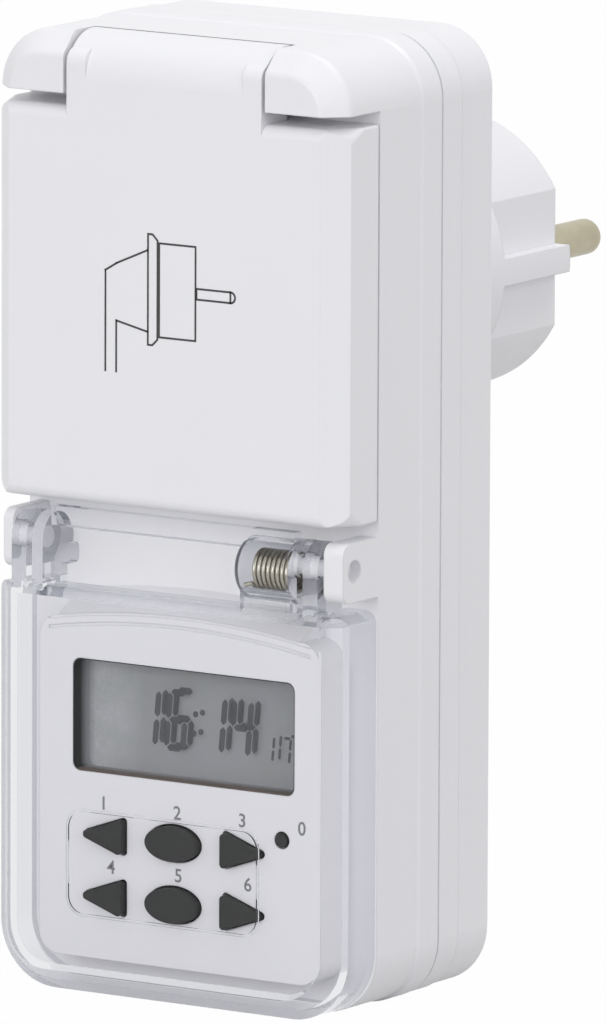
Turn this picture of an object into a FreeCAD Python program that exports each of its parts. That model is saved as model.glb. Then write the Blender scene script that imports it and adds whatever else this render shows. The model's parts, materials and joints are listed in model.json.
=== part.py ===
import FreeCAD, Part
import math
import os
from FreeCAD import Vector

# Splash-proof plug-in weekly timer, in millimetres.
# +Z is up, the front faces -Y and the plug points to +Y.
# The origin is midway between the two plug pins, on the plug's end face.

# Casing
CASE_BESIDE_PLUG = 8.8
CASE_ABOVE_PLUG = 16.8
CASE_FOOT = 12.8
CASE_CORNER = 8.0
CASE_BACK = -32.2
SEAM = -45.1
RIDGE = -50.0
RIDGE_STEP = 0.3
REAR_STEP = -40.5
REAR_STEP_OUT = 0.2
CASE_FRONT = -59.75
WALL = 2.0
SEAM_GROOVE = 0.4
BACK_ROUND = 1.2
ASSEMBLY_GAP = 0.1
ROOT = 0.5

# Lid and cover front, with a facet round it
FLAP_FRONT = -69.2
FACET_WIDTH = 2.94
FACET_DEPTH = 2.8
FLAP_SEAT_GAP = 0.3

# Plug and its standard contacts
PLUG_RADIUS = 18.5
PLUG_FLAT_CUT = 2.4
PLUG_FLAT_LENGTH = 16.0
PLUG_RIB_WIDTH = 3.6
PLUG_WALL = 2.2
PLUG_END_WALL = 2.5
PLUG_FLANGE = 1.8
PLUG_FLANGE_SHEET = 1.2
PLUG_SEAT_GAP = 0.05
PIN_RADIUS = 2.4
PIN_LENGTH = 19.0
PIN_TIP_ROUND = 1.5
PIN_PITCH = 19.0
PIN_TAIL = 13.0
PIN_TAIL_RADIUS = 2.0
EARTH_WIDTH = 5.0
EARTH_SHEET = 0.8
EARTH_RECESS = 0.4
EARTH_END_GAP = 0.6
EARTH_RING_WIDTH = 3.3
EARTH_RING_FRONT = -41.5

# Socket
SOCKET_CLEARANCE = 1.25
SOCKET_STEP = 0.25
SOCKET_ENTRY = 3.0
SOCKET_DEPTH = 17.5
SOCKET_RIM_DROP = 3.9
SOCKET_WALL = 1.5
SOCKET_FLOOR = 2.5
RIM_SHEET = 0.6
COLLAR_WALL = 1.5
NOSE_REACH = 3.15
NOSE_LENGTH = 14.3
NOSE_HALF_HEIGHT = 8.6
NOSE_GROOVE = 4.4
APERTURE_RADIUS = 2.7
CONTACT_CLEARANCE = 0.05
CONTACT_WALL = 0.6
CONTACT_LENGTH = 15.0
CONTACT_SLIT = 0.8
CONTACT_ROOT = 3.0
CLIP_INSET = 0.4
CLIP_FOOT = 2.1

# Shutter
SHUTTER_SHEET = 1.0
SHUTTER_PAD = 3.1
SHUTTER_GAP = 0.3
SHUTTER_HUB = 3.2
SHUTTER_ARM = 2.2
SHUTTER_PIVOT = 1.4
SHUTTER_RUN = 0.05
SHUTTER_ROOM = 4.2
SHUTTER_RING_WALL = 1.3
SHUTTER_COVER_GAP = 0.02
LEAF_GAP = 0.3
LEAF_SHEET = 0.4
LEAF_START = 4.0

# Socket lid and its hinge
LID_TOP_DROP = 9.7
LID_BELOW_PLUG = 7.9
LID_CORNER_FRONT = 4.1
LID_CORNER_BACK = 0.4
LID_CORNER_DEPTH = 5.7
LID_WALL = 2.0
LID_ROUND = 1.6
LID_AXIS_Y = -66.2
LID_AXIS_DROP = 6.0
LID_PIN_RADIUS = 1.25
LID_PIN_COVER = 2.8
TONGUE_HALF_WIDTH = 15.2
TONGUE_GAP = 0.5
TONGUE_ROUND = 6.0
TONGUE_BACK = -62.5
TONGUE_CHEEK = 3.0
TONGUE_ROOT = 1.0
KNUCKLE_GAP = 1.7
KNUCKLE_ROUND = 1.2
SWEEP_GAP = 0.3
RUNNING_GAP = 0.05
LID_SPRING_RADIUS = 1.75
LID_SPRING_WIRE = 0.4
LID_SPRING_TURNS = 12
GASKET_WIDTH = 1.8

# Clear cover and its hinge
COVER_TOP_DROP = 5.9
COVER_WALL = 1.5
COVER_CORNER = 8.6
COVER_SHOULDER = 1.7
COVER_TOP_WALL_BACK = -64.1
COVER_AXIS_Y = -65.3
COVER_AXIS_DROP = 5.7
EAR_WIDTH = 3.0
EAR_FRONT = -68.0
EAR_RISE = 3.7
EAR_FOOT = 4.1
EAR_ROUND = 1.6
COVER_PIN_RADIUS = 1.5
COVER_PIN_RECESS = 1.5
LUG_GAP = 0.35
LUG_RADIUS = 3.6
LUG_BACK = 2.16
LUG_OUTER_WIDTH = 2.3
LUG_INNER_WIDTH = 1.7
LUG_SPACE = 0.9
BARREL_LENGTH = 8.35
BARREL_RADIUS = 4.2
BARREL_DROP = 0.85
BARREL_SET_BACK = 0.3
BARREL_WALL = 0.7
BARREL_ROUND = 1.2
BARREL_WEB = 1.1
COVER_SPRING_RADIUS = 2.65
COVER_SPRING_WIRE = 0.4
COVER_SPRING_TURNS = 6.75
COVER_SPRING_START = 195.0
COVER_SPRING_LEG = 1.7
COVER_SPRING_BEND = 0.9
SPRING_COIL_GAP = 0.41
POINTS_PER_ARC = 6
BAR_RISE = 4.5
BAR_HEIGHT = 2.6
BAR_DEPTH = 1.6
HEEL_BACK = 4.9
HEEL_UNDER_AXIS = 1.1
HEEL_BELOW = 3.8
HEEL_ROUND = 0.8
PRESS_FRAME_MARGIN = 6.9
PRESS_FRAME_RISE = 3.9
PRESS_FRAME_HEIGHT = 14.3
PRESS_FRAME_LINE = 0.35
PRESS_FRAME_ROUND = 2.6

# Control panel
PANEL_DROP = 4.2
PANEL_MARGIN = 5.3
PANEL_TOP_DROP = 4.8
PANEL_FOOT = 4.3
PANEL_ARCH = 2.1
PANEL_CORNER = 3.0
PANEL_WALL = 1.8
PANEL_RAMP_RISE = 3.0
PANEL_RAMP_MARGIN = 3.0
LINE_DEPTH = 0.3
ARCH_LINE_DEPTH = 0.2
ARCH_LINE = 0.4
ARCH_LINE_PITCH = 1.3
WINDOW_X = 0.7
WINDOW_MARGIN = 4.6
WINDOW_DROP = 4.9
WINDOW_HEIGHT = 15.0
WINDOW_CORNER = 1.2

# Keys
KEYS_X = -0.6
KEY_ROW_DROP = 8.1
KEY_ROW_PITCH = 8.2
ARROW_EDGE = 7.15
ARROW_LENGTH = 7.1
ARROW_HALF_HEIGHT = 2.5
ARROW_ROUND = 0.55
OVAL_SPACE = 3.725
OVAL_HEIGHT = 4.65
RESET_EDGE = 5.8
RESET_RISE = 2.2
RESET_RADIUS = 0.9
KEY_PROUD = 1.1
RESET_PROUD = 0.3
KEY_CLEARANCE = 0.25
KEY_FLANGE = 0.55
KEY_FLANGE_SHEET = 0.8
KEY_FLANGE_GAP = 0.2
KEY_TRAVEL = 0.7

# Display and clock board
LCD_MARGIN = 1.8
LCD_SIDE_MARGIN = 1.0
LCD_SHEET = 1.8
REFLECTOR_SHEET = 0.3
LCD_FRAME_DEPTH = 2.3
LCD_FRAME_WALL = 1.0
ZEBRA_HEIGHT = 1.5
ZEBRA_INSET = 0.2
BOARD_SHEET = 1.6
BOARD_CORNER = 1.0
DISPLAY_BOARD_GAP = 0.3
DISPLAY_BOARD_FOOT = 9.8
MAT_SHEET = 1.3
MAT_EDGE = 0.4
MAT_DROP = 3.5
DOME_RADIUS = 1.5
DOME_GAP = 0.05
SMALL_SCREW = 0.9
SMALL_HEAD = 1.8
SMALL_HEAD_DEPTH = 1.2
DISPLAY_SCREW_EDGE = 1.9
DISPLAY_SCREW_DROP = 4.7
CHIP_SIDE = 10.0
CHIP_SHEET = 1.6
CHIP_X = 9.0
CHIP_RISE = 5.7
CRYSTAL_RADIUS = 1.0
CRYSTAL_LENGTH = 6.0
CRYSTAL_DROP = 9.0
BATTERY_RADIUS = 7.8
BATTERY_SHEET = 5.2
BATTERY_X = -10.0
BATTERY_DROP = 11.0
LINK_LENGTH = 12.0
LINK_HEIGHT = 2.5
LINK_FOOT = 0.8

# Power board and its parts
BOARD_STANDOFF = 2.6
POWER_BOARD_MARGIN = 5.3
POWER_BOARD_BELOW_PLUG = 7.5
BOARD_SCREW_EDGE = 2.7
BOARD_SCREW_UPPER_DROP = 28.5
BOARD_SCREW_LOWER_DROP = 52.5
STRIP_SHEET = 0.8
STRIP_WIDTH = 4.0
STRIP_DROP = 8.0
STRIP_LAP = 3.0
OUTPUT_INSET = 1.0
RELAY_WIDTH = 15.5
RELAY_DEPTH = 15.5
RELAY_HEIGHT = 19.0
RELAY_EDGE = 11.25
RELAY_GAP = 0.5
DROPPER_LENGTH = 18.0
DROPPER_DEPTH = 14.5
DROPPER_HEIGHT = 8.5
DROPPER_EDGE = 11.0
DROPPER_DROP = 15.5
SMOOTHING_RADIUS = 4.0
SMOOTHING_HEIGHT = 12.0
SMOOTHING_EDGE = 9.0
SMOOTHING_DROP = 33.5
VARISTOR_RADIUS = 3.5
VARISTOR_SHEET = 3.5
VARISTOR_X = -8.25
VARISTOR_DROP = 8.0
RESISTOR_RADIUS = 1.8
RESISTOR_LENGTH = 8.0
RESISTOR_EDGE = 5.0
RESISTOR_DROP = 4.0
DIODE_RADIUS = 1.3
DIODE_LENGTH = 5.0
DIODE_PITCH = 3.2
DIODE_X = 8.5
DIODE_DROP = 36.0

# Fasteners and seals
SCREW_RADIUS = 1.5
SCREW_HEAD = 3.0
SCREW_HEAD_DEPTH = 2.4
SCREW_HEAD_SHEET = 1.8
SCREW_HEAD_GAP = 0.15
SCREW_SLOT = 0.8
SCREW_EDGE = 6.7
SCREW_LENGTH = 13.0
BOSS_WALL = 1.2
SEAL_SHEET = 1.0
SEAL_HEIGHT = 1.2
SEAL_GAP = 0.05

# Worked out from the sizes above
REAR_INNER = CASE_BACK - WALL
FRONT_INNER = CASE_FRONT + WALL
CASE_HALF_WIDTH = PLUG_RADIUS + CASE_BESIDE_PLUG
CASE_TOP = PLUG_RADIUS + CASE_ABOVE_PLUG
PIN_X = PIN_PITCH / 2
PLUG_FLAT = PLUG_RADIUS - PLUG_FLAT_CUT
PLUG_INNER = PLUG_RADIUS - PLUG_WALL
EARTH_FACE = PLUG_RADIUS - EARTH_RECESS
EARTH_CLIP = EARTH_FACE - CLIP_INSET
EARTH_RING_OUTER = EARTH_FACE - EARTH_SHEET + EARTH_SHEET / 4
EARTH_RING_INNER = EARTH_RING_OUTER - EARTH_RING_WIDTH
SOCKET_RADIUS = PLUG_RADIUS + SOCKET_CLEARANCE
SOCKET_OUTER = SOCKET_RADIUS + SOCKET_WALL
SOCKET_RIM = FLAP_FRONT + SOCKET_RIM_DROP
SOCKET_FLOOR_FRONT = SOCKET_RIM + SOCKET_DEPTH
SOCKET_FLOOR_BACK = SOCKET_FLOOR_FRONT + SOCKET_FLOOR
COLLAR_INNER = SOCKET_OUTER + ASSEMBLY_GAP
COLLAR_OUTER = COLLAR_INNER + COLLAR_WALL
NOSE_FLAT = SOCKET_RADIUS - NOSE_REACH
NOSE_FRONT = SOCKET_FLOOR_FRONT - NOSE_LENGTH
SHUTTER_RING = PIN_X + SHUTTER_ROOM
SHUTTER_FRONT = SOCKET_FLOOR_BACK + SHUTTER_GAP
SHUTTER_BACK = SHUTTER_FRONT + SHUTTER_SHEET
SHUTTER_COVER_FRONT = SHUTTER_BACK + SHUTTER_GAP
SHUTTER_COVER_BACK = SHUTTER_COVER_FRONT + SHUTTER_SHEET
CONTACT_FRONT = SHUTTER_COVER_BACK + ASSEMBLY_GAP
CONTACT_BACK = CONTACT_FRONT + CONTACT_LENGTH
LID_TOP = CASE_TOP - LID_TOP_DROP
LID_BOTTOM = -PLUG_RADIUS - LID_BELOW_PLUG
LID_AXIS_Z = CASE_TOP - LID_AXIS_DROP
LID_PIN_END = CASE_HALF_WIDTH - LID_PIN_COVER
KNUCKLE_BOTTOM = LID_TOP + KNUCKLE_GAP
FLAP_BACK = CASE_FRONT - FLAP_SEAT_GAP
COVER_AXIS_Z = LID_BOTTOM - COVER_AXIS_DROP
COVER_TOP = COVER_AXIS_Z - COVER_TOP_DROP
EAR_TOP = COVER_AXIS_Z + EAR_RISE
EAR_BOTTOM = COVER_AXIS_Z - EAR_FOOT
BAR_TOP = COVER_AXIS_Z + BAR_RISE
EAR_INNER = CASE_HALF_WIDTH - EAR_WIDTH
LUG_OUTER_END = EAR_INNER - LUG_GAP
LUG_OUTER_START = LUG_OUTER_END - LUG_OUTER_WIDTH
LUG_INNER_END = LUG_OUTER_START - LUG_SPACE
LUG_INNER_START = LUG_INNER_END - LUG_INNER_WIDTH
BARREL_INNER_X = LUG_INNER_START - BARREL_LENGTH
BARREL_Y = COVER_AXIS_Y + BARREL_SET_BACK
BARREL_Z = COVER_AXIS_Z - BARREL_DROP
COVER_COIL_X = BARREL_INNER_X + BARREL_WALL + COVER_SPRING_LEG
COVER_COIL_Z = COVER_AXIS_Z + COVER_PIN_RADIUS + RUNNING_GAP + COVER_SPRING_WIRE / 2 - COVER_SPRING_RADIUS
PANEL_FRONT = FLAP_FRONT + PANEL_DROP
PANEL_BACK = PANEL_FRONT + PANEL_WALL
PANEL_HALF_WIDTH = CASE_HALF_WIDTH - PANEL_MARGIN
PANEL_TOP = COVER_TOP - PANEL_TOP_DROP
WINDOW_HALF_WIDTH = PANEL_HALF_WIDTH - WINDOW_MARGIN
WINDOW_TOP = PANEL_TOP - WINDOW_DROP
WINDOW_BOTTOM = WINDOW_TOP - WINDOW_HEIGHT
KEY_ROW_UPPER = WINDOW_BOTTOM - KEY_ROW_DROP
KEY_ROW_LOWER = KEY_ROW_UPPER - KEY_ROW_PITCH
KEY_FLANGE_FRONT = PANEL_BACK + KEY_FLANGE_GAP
KEY_FLANGE_BACK = KEY_FLANGE_FRONT + KEY_FLANGE_SHEET
ARROW_TIP = PANEL_HALF_WIDTH - ARROW_EDGE
ARROW_BASE = ARROW_TIP - ARROW_LENGTH
OVAL_WIDTH = 2 * (ARROW_BASE - OVAL_SPACE)
RESET_X = PANEL_HALF_WIDTH - RESET_EDGE
RESET_Z = KEY_ROW_UPPER + RESET_RISE
CASE_BOTTOM = KEY_ROW_LOWER - CASE_FOOT
PANEL_BOTTOM = CASE_BOTTOM + PANEL_FOOT
PRESS_FRAME_HALF = PANEL_HALF_WIDTH - PRESS_FRAME_MARGIN
PRESS_FRAME_TOP = KEY_ROW_UPPER + PRESS_FRAME_RISE
PRESS_FRAME_BOTTOM = PRESS_FRAME_TOP - PRESS_FRAME_HEIGHT
LCD_FRONT = PANEL_BACK + ASSEMBLY_GAP
LCD_BACK = LCD_FRONT + LCD_SHEET
REFLECTOR_BACK = LCD_BACK + REFLECTOR_SHEET
BOARD_FRONT = REFLECTOR_BACK + LCD_FRAME_DEPTH
BOARD_BACK = BOARD_FRONT + BOARD_SHEET
BOARD_BOTTOM = CASE_BOTTOM + DISPLAY_BOARD_FOOT
DISPLAY_BOARD_HALF = PANEL_HALF_WIDTH - PANEL_WALL - DISPLAY_BOARD_GAP
DISPLAY_BOARD_TOP = PANEL_TOP - PANEL_WALL - DISPLAY_BOARD_GAP
DISPLAY_SCREW_X = DISPLAY_BOARD_HALF - DISPLAY_SCREW_EDGE
DISPLAY_SCREW_Z = KEY_ROW_UPPER - DISPLAY_SCREW_DROP
MAT_TOP = WINDOW_BOTTOM - MAT_DROP
CHIP_Z = WINDOW_BOTTOM + CHIP_RISE
CRYSTAL_Z = CHIP_Z - CRYSTAL_DROP
BATTERY_Z = CHIP_Z - BATTERY_DROP
POWER_BOARD_BACK = REAR_INNER - BOARD_STANDOFF
POWER_BOARD_FRONT = POWER_BOARD_BACK - BOARD_SHEET
POWER_BOARD_HALF = CASE_HALF_WIDTH - POWER_BOARD_MARGIN
POWER_BOARD_TOP = -PLUG_RADIUS - POWER_BOARD_BELOW_PLUG
BOARD_SCREW_X = POWER_BOARD_HALF - BOARD_SCREW_EDGE
BOARD_SCREW_UPPER = POWER_BOARD_TOP - BOARD_SCREW_UPPER_DROP
BOARD_SCREW_LOWER = POWER_BOARD_TOP - BOARD_SCREW_LOWER_DROP
RELAY_X = POWER_BOARD_HALF - RELAY_EDGE
RELAY_TOP = POWER_BOARD_TOP - STRIP_LAP - RELAY_GAP
DROPPER_X = DROPPER_EDGE - POWER_BOARD_HALF
SMOOTHING_X = SMOOTHING_EDGE - POWER_BOARD_HALF
RESISTOR_X = RESISTOR_EDGE - POWER_BOARD_HALF
DROPPER_TOP = POWER_BOARD_TOP - DROPPER_DROP
SMOOTHING_Z = POWER_BOARD_TOP - SMOOTHING_DROP
VARISTOR_Z = POWER_BOARD_TOP - VARISTOR_DROP
RESISTOR_Z = POWER_BOARD_TOP - RESISTOR_DROP
DIODE_TOP = POWER_BOARD_TOP - DIODE_DROP
BOSS_RADIUS = SCREW_RADIUS + BOSS_WALL
SCREW_X = CASE_HALF_WIDTH - SCREW_EDGE
SCREW_Z_UPPER = CASE_TOP - SCREW_EDGE
SCREW_Z_LOWER = CASE_BOTTOM + SCREW_EDGE
SCREW_HEAD_FRONT = CASE_BACK - SCREW_HEAD_DEPTH
POINTS_PER_TURN = 8 * POINTS_PER_ARC


def box(x0, x1, y0, y1, z0, z1):
    """Box between two corners."""
    return Part.makeBox(x1 - x0, y1 - y0, z1 - z0, Vector(x0, y0, z0))


def side_box(side, r0, r1, y0, y1, z0, z1):
    """Box on the +X (1) or -X (-1) side, from r0 to r1 off the middle."""
    x0, x1 = sorted((side * r0, side * r1))
    return box(x0, x1, y0, y1, z0, z1)


def end_box(end, x0, x1, y0, y1, r0, r1):
    """Box at the +Z (1) or -Z (-1) end, from r0 to r1 off the middle."""
    z0, z1 = sorted((end * r0, end * r1))
    return box(x0, x1, y0, y1, z0, z1)


def rod_y(x, z, radius, y0, y1):
    """Round bar along Y."""
    return Part.makeCylinder(radius, y1 - y0, Vector(x, y0, z), Vector(0, 1, 0))


def rod_x(y, z, radius, x0, x1):
    """Round bar along X."""
    return Part.makeCylinder(radius, x1 - x0, Vector(x0, y, z), Vector(1, 0, 0))


def ring_y(x, z, outer, inner, y0, y1):
    """Round ring along Y."""
    return rod_y(x, z, outer, y0, y1).cut(rod_y(x, z, inner, y0, y1))


def prism(points, direction):
    """Straight-sided prism from a closed outline."""
    outline = Part.makePolygon(points + [points[0]])
    return Part.Face(outline).extrude(direction)


def edges_along_y(shape):
    """Edges whose ends differ in Y only."""
    found = []
    for edge in shape.Edges:
        span = edge.Vertexes[-1].Point - edge.Vertexes[0].Point
        if abs(span.y) > 1e-6 and abs(span.x) + abs(span.z) < 1e-6:
            found.append(edge)
    return found


def slab(half_width, z0, z1, corner, y0, y1):
    """Rounded rectangle across X and Z, drawn out along Y."""
    body = box(-half_width, half_width, y0, y1, z0, z1)
    return body.makeFillet(corner, edges_along_y(body))


def face_at_y(shape, y):
    """Flat face of a shape that lies across Y."""
    for face in shape.Faces:
        if face.BoundBox.YLength < 1e-6 and abs(face.CenterOfMass.y - y) < 1e-6:
            return face
    return None


def edges_at_y(shape, y):
    """Edges of a shape that lie in one plane across Y."""
    return [e for e in shape.Edges if abs(e.BoundBox.YMin - y) < 1e-4 and abs(e.BoundBox.YMax - y) < 1e-4]


def taper(front, y_front, back, y_back):
    """Straight taper between a front face of one block and a back face of another."""
    wires = [face_at_y(front, y_front).OuterWire, face_at_y(back, y_back).OuterWire]
    return Part.makeLoft(wires, True, True)


def side_profile(y_front, y_back, z0, z1, low_round, high_round, half_width):
    """Side outline with rounded front edges, drawn across X."""
    body = box(-half_width, half_width, y_front, y_back, z0, z1)
    for z_edge, radius in ((z0, low_round), (z1, high_round)):
        if radius > 0:
            ends = [e for e in edges_at_y(body, y_front) if e.BoundBox.ZLength < 1e-4]
            body = body.makeFillet(radius, [e for e in ends if abs(e.BoundBox.ZMin - z_edge) < 1e-4])
    return body


def faceted(half_width, z0, z1, corner, y_front, y_back, width, depth):
    """Rounded rectangle block with a facet all round its front."""
    rear = slab(half_width, z0, z1, corner, y_front + depth, y_back)
    inner = slab(half_width - width, z0 + width, z1 - width, corner - width, y_front, y_front + depth)
    return fuse_all([taper(inner, y_front, rear, y_front + depth), rear])


def plan_profile(half_width, y_front, y_back, z0, z1):
    """Plan outline with two bevelled front corners, drawn up along Z."""
    points = [
        Vector(-half_width, y_back, z0),
        Vector(-half_width, y_front + FACET_DEPTH, z0),
        Vector(-half_width + FACET_WIDTH, y_front, z0),
        Vector(half_width - FACET_WIDTH, y_front, z0),
        Vector(half_width, y_front + FACET_DEPTH, z0),
        Vector(half_width, y_back, z0),
    ]
    return prism(points, Vector(0, 0, z1 - z0))


def fuse_all(shapes):
    """Union of a list, with its seams removed."""
    first = shapes[0]
    if len(shapes) > 1:
        first = first.multiFuse(shapes[1:])
    return first.removeSplitter()


def group(solids):
    """Separate solids kept in one node."""
    return Part.makeCompound(solids)


def arc_from(start, heading, end):
    """Arc that leaves start along heading and reaches end, with its heading there."""
    chord = end - start
    along = Vector(chord)
    along.normalize()
    cosine = heading.dot(along)
    side = heading - along * cosine
    if side.Length < 1e-9:
        return Part.LineSegment(start, end).toShape(), heading
    side.normalize()
    angle = math.acos(max(-1.0, min(1.0, cosine)))
    middle = (start + end) * 0.5 + side * (chord.Length / 2 * math.tan(angle / 2))
    leaving = along * (2 * cosine) - heading
    leaving.normalize()
    return Part.Arc(start, middle, end).toShape(), leaving


def biarc(start, heading, end, last_heading):
    """Two tangent arcs from start to end that keep both headings."""
    chord = end - start
    total = heading + last_heading
    bend = 2 * (1 - heading.dot(last_heading))
    reach = (math.sqrt(chord.dot(total) ** 2 + bend * chord.dot(chord)) - chord.dot(total)) / bend
    joint = (start + end + (heading - last_heading) * reach) * 0.5
    first, middle_heading = arc_from(start, heading, joint)
    second, _ = arc_from(joint, middle_heading, end)
    return [first, second]


def coil_point(centre_y, centre_z, radius, x_start, pitch, angle):
    """Point of a coil about an X axis, at an angle from +Z towards +Y."""
    return Vector(
        x_start + pitch * angle / (2 * math.pi),
        centre_y + radius * math.sin(angle),
        centre_z + radius * math.cos(angle),
    )


def coil_heading(radius, pitch, angle):
    """Unit heading of that coil."""
    heading = Vector(pitch / (2 * math.pi), radius * math.cos(angle), -radius * math.sin(angle))
    heading.normalize()
    return heading


def coil_edges(centre_y, centre_z, radius, x_start, pitch, first_angle, turns):
    """Quarter-turn biarcs of a coil about an X axis."""
    edges = []
    quarter = math.pi / 2
    for count in range(int(round(turns * 4))):
        a0 = first_angle + quarter * count
        a1 = a0 + quarter
        x0 = x_start - pitch * first_angle / (2 * math.pi)
        p0 = coil_point(centre_y, centre_z, radius, x0, pitch, a0)
        p1 = coil_point(centre_y, centre_z, radius, x0, pitch, a1)
        edges += biarc(p0, coil_heading(radius, pitch, a0), p1, coil_heading(radius, pitch, a1))
    return edges


def wire_tube(edges, wire_diameter):
    """Round wire swept along tangent edges."""
    path = Part.Wire(edges)
    start = edges[0].valueAt(edges[0].FirstParameter)
    heading = edges[0].tangentAt(edges[0].FirstParameter)
    ring = Part.Wire([Part.makeCircle(wire_diameter / 2, start, heading)])
    tube = path.makePipeShell([ring], True, False)
    return Part.makeSolid(tube) if tube.ShapeType != "Solid" else tube


def least_gap(edges, wire_diameter, skip):
    """Least clear distance of a wire to itself, measured on points."""
    points = []
    for edge in edges:
        points += edge.discretize(Number=POINTS_PER_ARC + 1)[:-1]
    least = 1e9
    for i, first in enumerate(points):
        for second in points[i + skip:]:
            least = min(least, first.distanceToPoint(second))
    return least - wire_diameter


def case_part(y0, y1, offset):
    """Slice of the casing's outline, grown or shrunk by an offset."""
    return slab(
        CASE_HALF_WIDTH + offset,
        CASE_BOTTOM - offset,
        CASE_TOP + offset,
        CASE_CORNER + offset,
        y0,
        y1,
    )


def ridge_bevel():
    """Bevel round the casing where the front shell steps outwards."""
    y0 = RIDGE - RIDGE_STEP
    y1 = RIDGE + RIDGE_STEP
    return taper(case_part(y0, RIDGE, 0), y0, case_part(RIDGE, y1, RIDGE_STEP), y1)


def lid_sweep(radius, half_width):
    """Round space about the lid's axle."""
    return rod_x(LID_AXIS_Y, LID_AXIS_Z, radius, -half_width, half_width)


def tongue_reach():
    """Radius of the tongue's far corner about the lid's axle."""
    return math.hypot(TONGUE_BACK - LID_AXIS_Y, CASE_TOP - LID_AXIS_Z)


def knuckles():
    """Casing corners that carry the lid's axle, with the casing's brow between them."""
    inner = TONGUE_HALF_WIDTH + TONGUE_GAP
    back = CASE_FRONT + ROOT
    whole = faceted(
        CASE_HALF_WIDTH, CASE_BOTTOM, CASE_TOP, CASE_CORNER, FLAP_FRONT, back, FACET_WIDTH, FACET_DEPTH
    )
    edges = edges_at_y(whole, FLAP_FRONT) + edges_at_y(whole, FLAP_FRONT + FACET_DEPTH)
    whole = whole.makeFillet(KNUCKLE_ROUND, edges)
    forms = []
    for side in (-1, 1):
        corner = side_box(side, inner, CASE_HALF_WIDTH, FLAP_FRONT, back, KNUCKLE_BOTTOM, CASE_TOP)
        forms.append(whole.common(corner))
    forms.append(box(-inner, inner, TONGUE_BACK, back, CASE_TOP - WALL, CASE_TOP))
    return forms


def arch_height(x):
    """How far the panel's arched top edge rises above its ends, at X."""
    radius = (PANEL_HALF_WIDTH ** 2 + PANEL_ARCH ** 2) / (2 * PANEL_ARCH)
    return PANEL_ARCH - radius + math.sqrt(radius ** 2 - x ** 2)


def arch_wire(half, low, high, y):
    """Outline with a straight foot and an arched top, across Y."""
    end = high + arch_height(half)
    crown = high + PANEL_ARCH
    edges = [
        Part.LineSegment(Vector(-half, y, low), Vector(half, y, low)).toShape(),
        Part.LineSegment(Vector(half, y, low), Vector(half, y, end)).toShape(),
        Part.Arc(Vector(half, y, end), Vector(0, y, crown), Vector(-half, y, end)).toShape(),
        Part.LineSegment(Vector(-half, y, end), Vector(-half, y, low)).toShape(),
    ]
    return Part.Wire(edges)


def panel_outline(margin, y0, y1):
    """Control panel form with an arched top edge, shrunk by a margin."""
    wire = arch_wire(PANEL_HALF_WIDTH - margin, PANEL_BOTTOM + margin, PANEL_TOP - margin, y0)
    body = Part.Face(wire).extrude(Vector(0, y1 - y0, 0))
    return body.makeFillet(PANEL_CORNER - margin, edges_along_y(body))


def panel_ramp():
    """Slope from the casing's front up to the panel's arched top edge."""
    half = PANEL_HALF_WIDTH - PANEL_RAMP_MARGIN
    low = PANEL_TOP - PANEL_CORNER
    front = arch_wire(half, low, PANEL_TOP, PANEL_FRONT)
    back = arch_wire(half, low, PANEL_TOP + PANEL_RAMP_RISE, CASE_FRONT + ROOT)
    return Part.makeLoft([front, back], True, True)


def arch_groove(drop):
    """Shallow line along the panel's arched top edge, a drop below it."""
    half = PANEL_HALF_WIDTH - PANEL_CORNER / 2
    high = PANEL_TOP - drop
    low = high - PANEL_CORNER
    upper = Part.Face(arch_wire(half, low, high, PANEL_FRONT))
    lower = Part.Face(arch_wire(half, low - ARCH_LINE, high - ARCH_LINE, PANEL_FRONT))
    return upper.cut(lower).extrude(Vector(0, ARCH_LINE_DEPTH, 0))


def arrow_outline(side, row, grow, y0, y1):
    """Arrow key form pointing left (-1) or right (+1)."""
    slant = math.hypot(ARROW_TIP - ARROW_BASE, ARROW_HALF_HEIGHT) / ARROW_HALF_HEIGHT
    base = KEYS_X + side * (ARROW_BASE - grow)
    tip = KEYS_X + side * (ARROW_TIP + slant * grow / 2)
    half = ARROW_HALF_HEIGHT + grow
    points = [Vector(base, y0, row - half), Vector(tip, y0, row), Vector(base, y0, row + half)]
    body = prism(points, Vector(0, y1 - y0, 0))
    return body.makeFillet(ARROW_ROUND, edges_along_y(body))


def oval_outline(row, grow, y0, y1):
    """Oval key form."""
    major = OVAL_WIDTH / 2 + grow
    minor = OVAL_HEIGHT / 2 + grow
    centre = Vector(KEYS_X, y0, row)
    ellipse = Part.Ellipse(centre + Vector(major, 0, 0), centre + Vector(0, 0, minor), centre)
    face = Part.Face(Part.Wire([ellipse.toShape()]))
    return face.extrude(Vector(0, y1 - y0, 0))


def key_form(name, grow, y0, y1):
    """Outline of one key, grown by a margin and drawn out along Y."""
    if name == "reset_key":
        return rod_y(RESET_X, RESET_Z, RESET_RADIUS + grow, y0, y1)
    place = int(name[-1]) - 1
    row = (KEY_ROW_UPPER, KEY_ROW_LOWER)[place // 3]
    side = place % 3 - 1
    if side == 0:
        return oval_outline(row, grow, y0, y1)
    return arrow_outline(side, row, grow, y0, y1)


def key_names():
    """Names of the keys."""
    return [f"key_{number}" for number in range(1, 7)] + ["reset_key"]


def key_centres():
    """Middle of every key across X and Z."""
    middle = (ARROW_BASE * 2 + ARROW_TIP) / 3
    centres = [(RESET_X, RESET_Z)]
    for row in (KEY_ROW_UPPER, KEY_ROW_LOWER):
        centres += [(KEYS_X + side * middle, row) for side in (-1, 0, 1)]
    return centres


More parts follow.
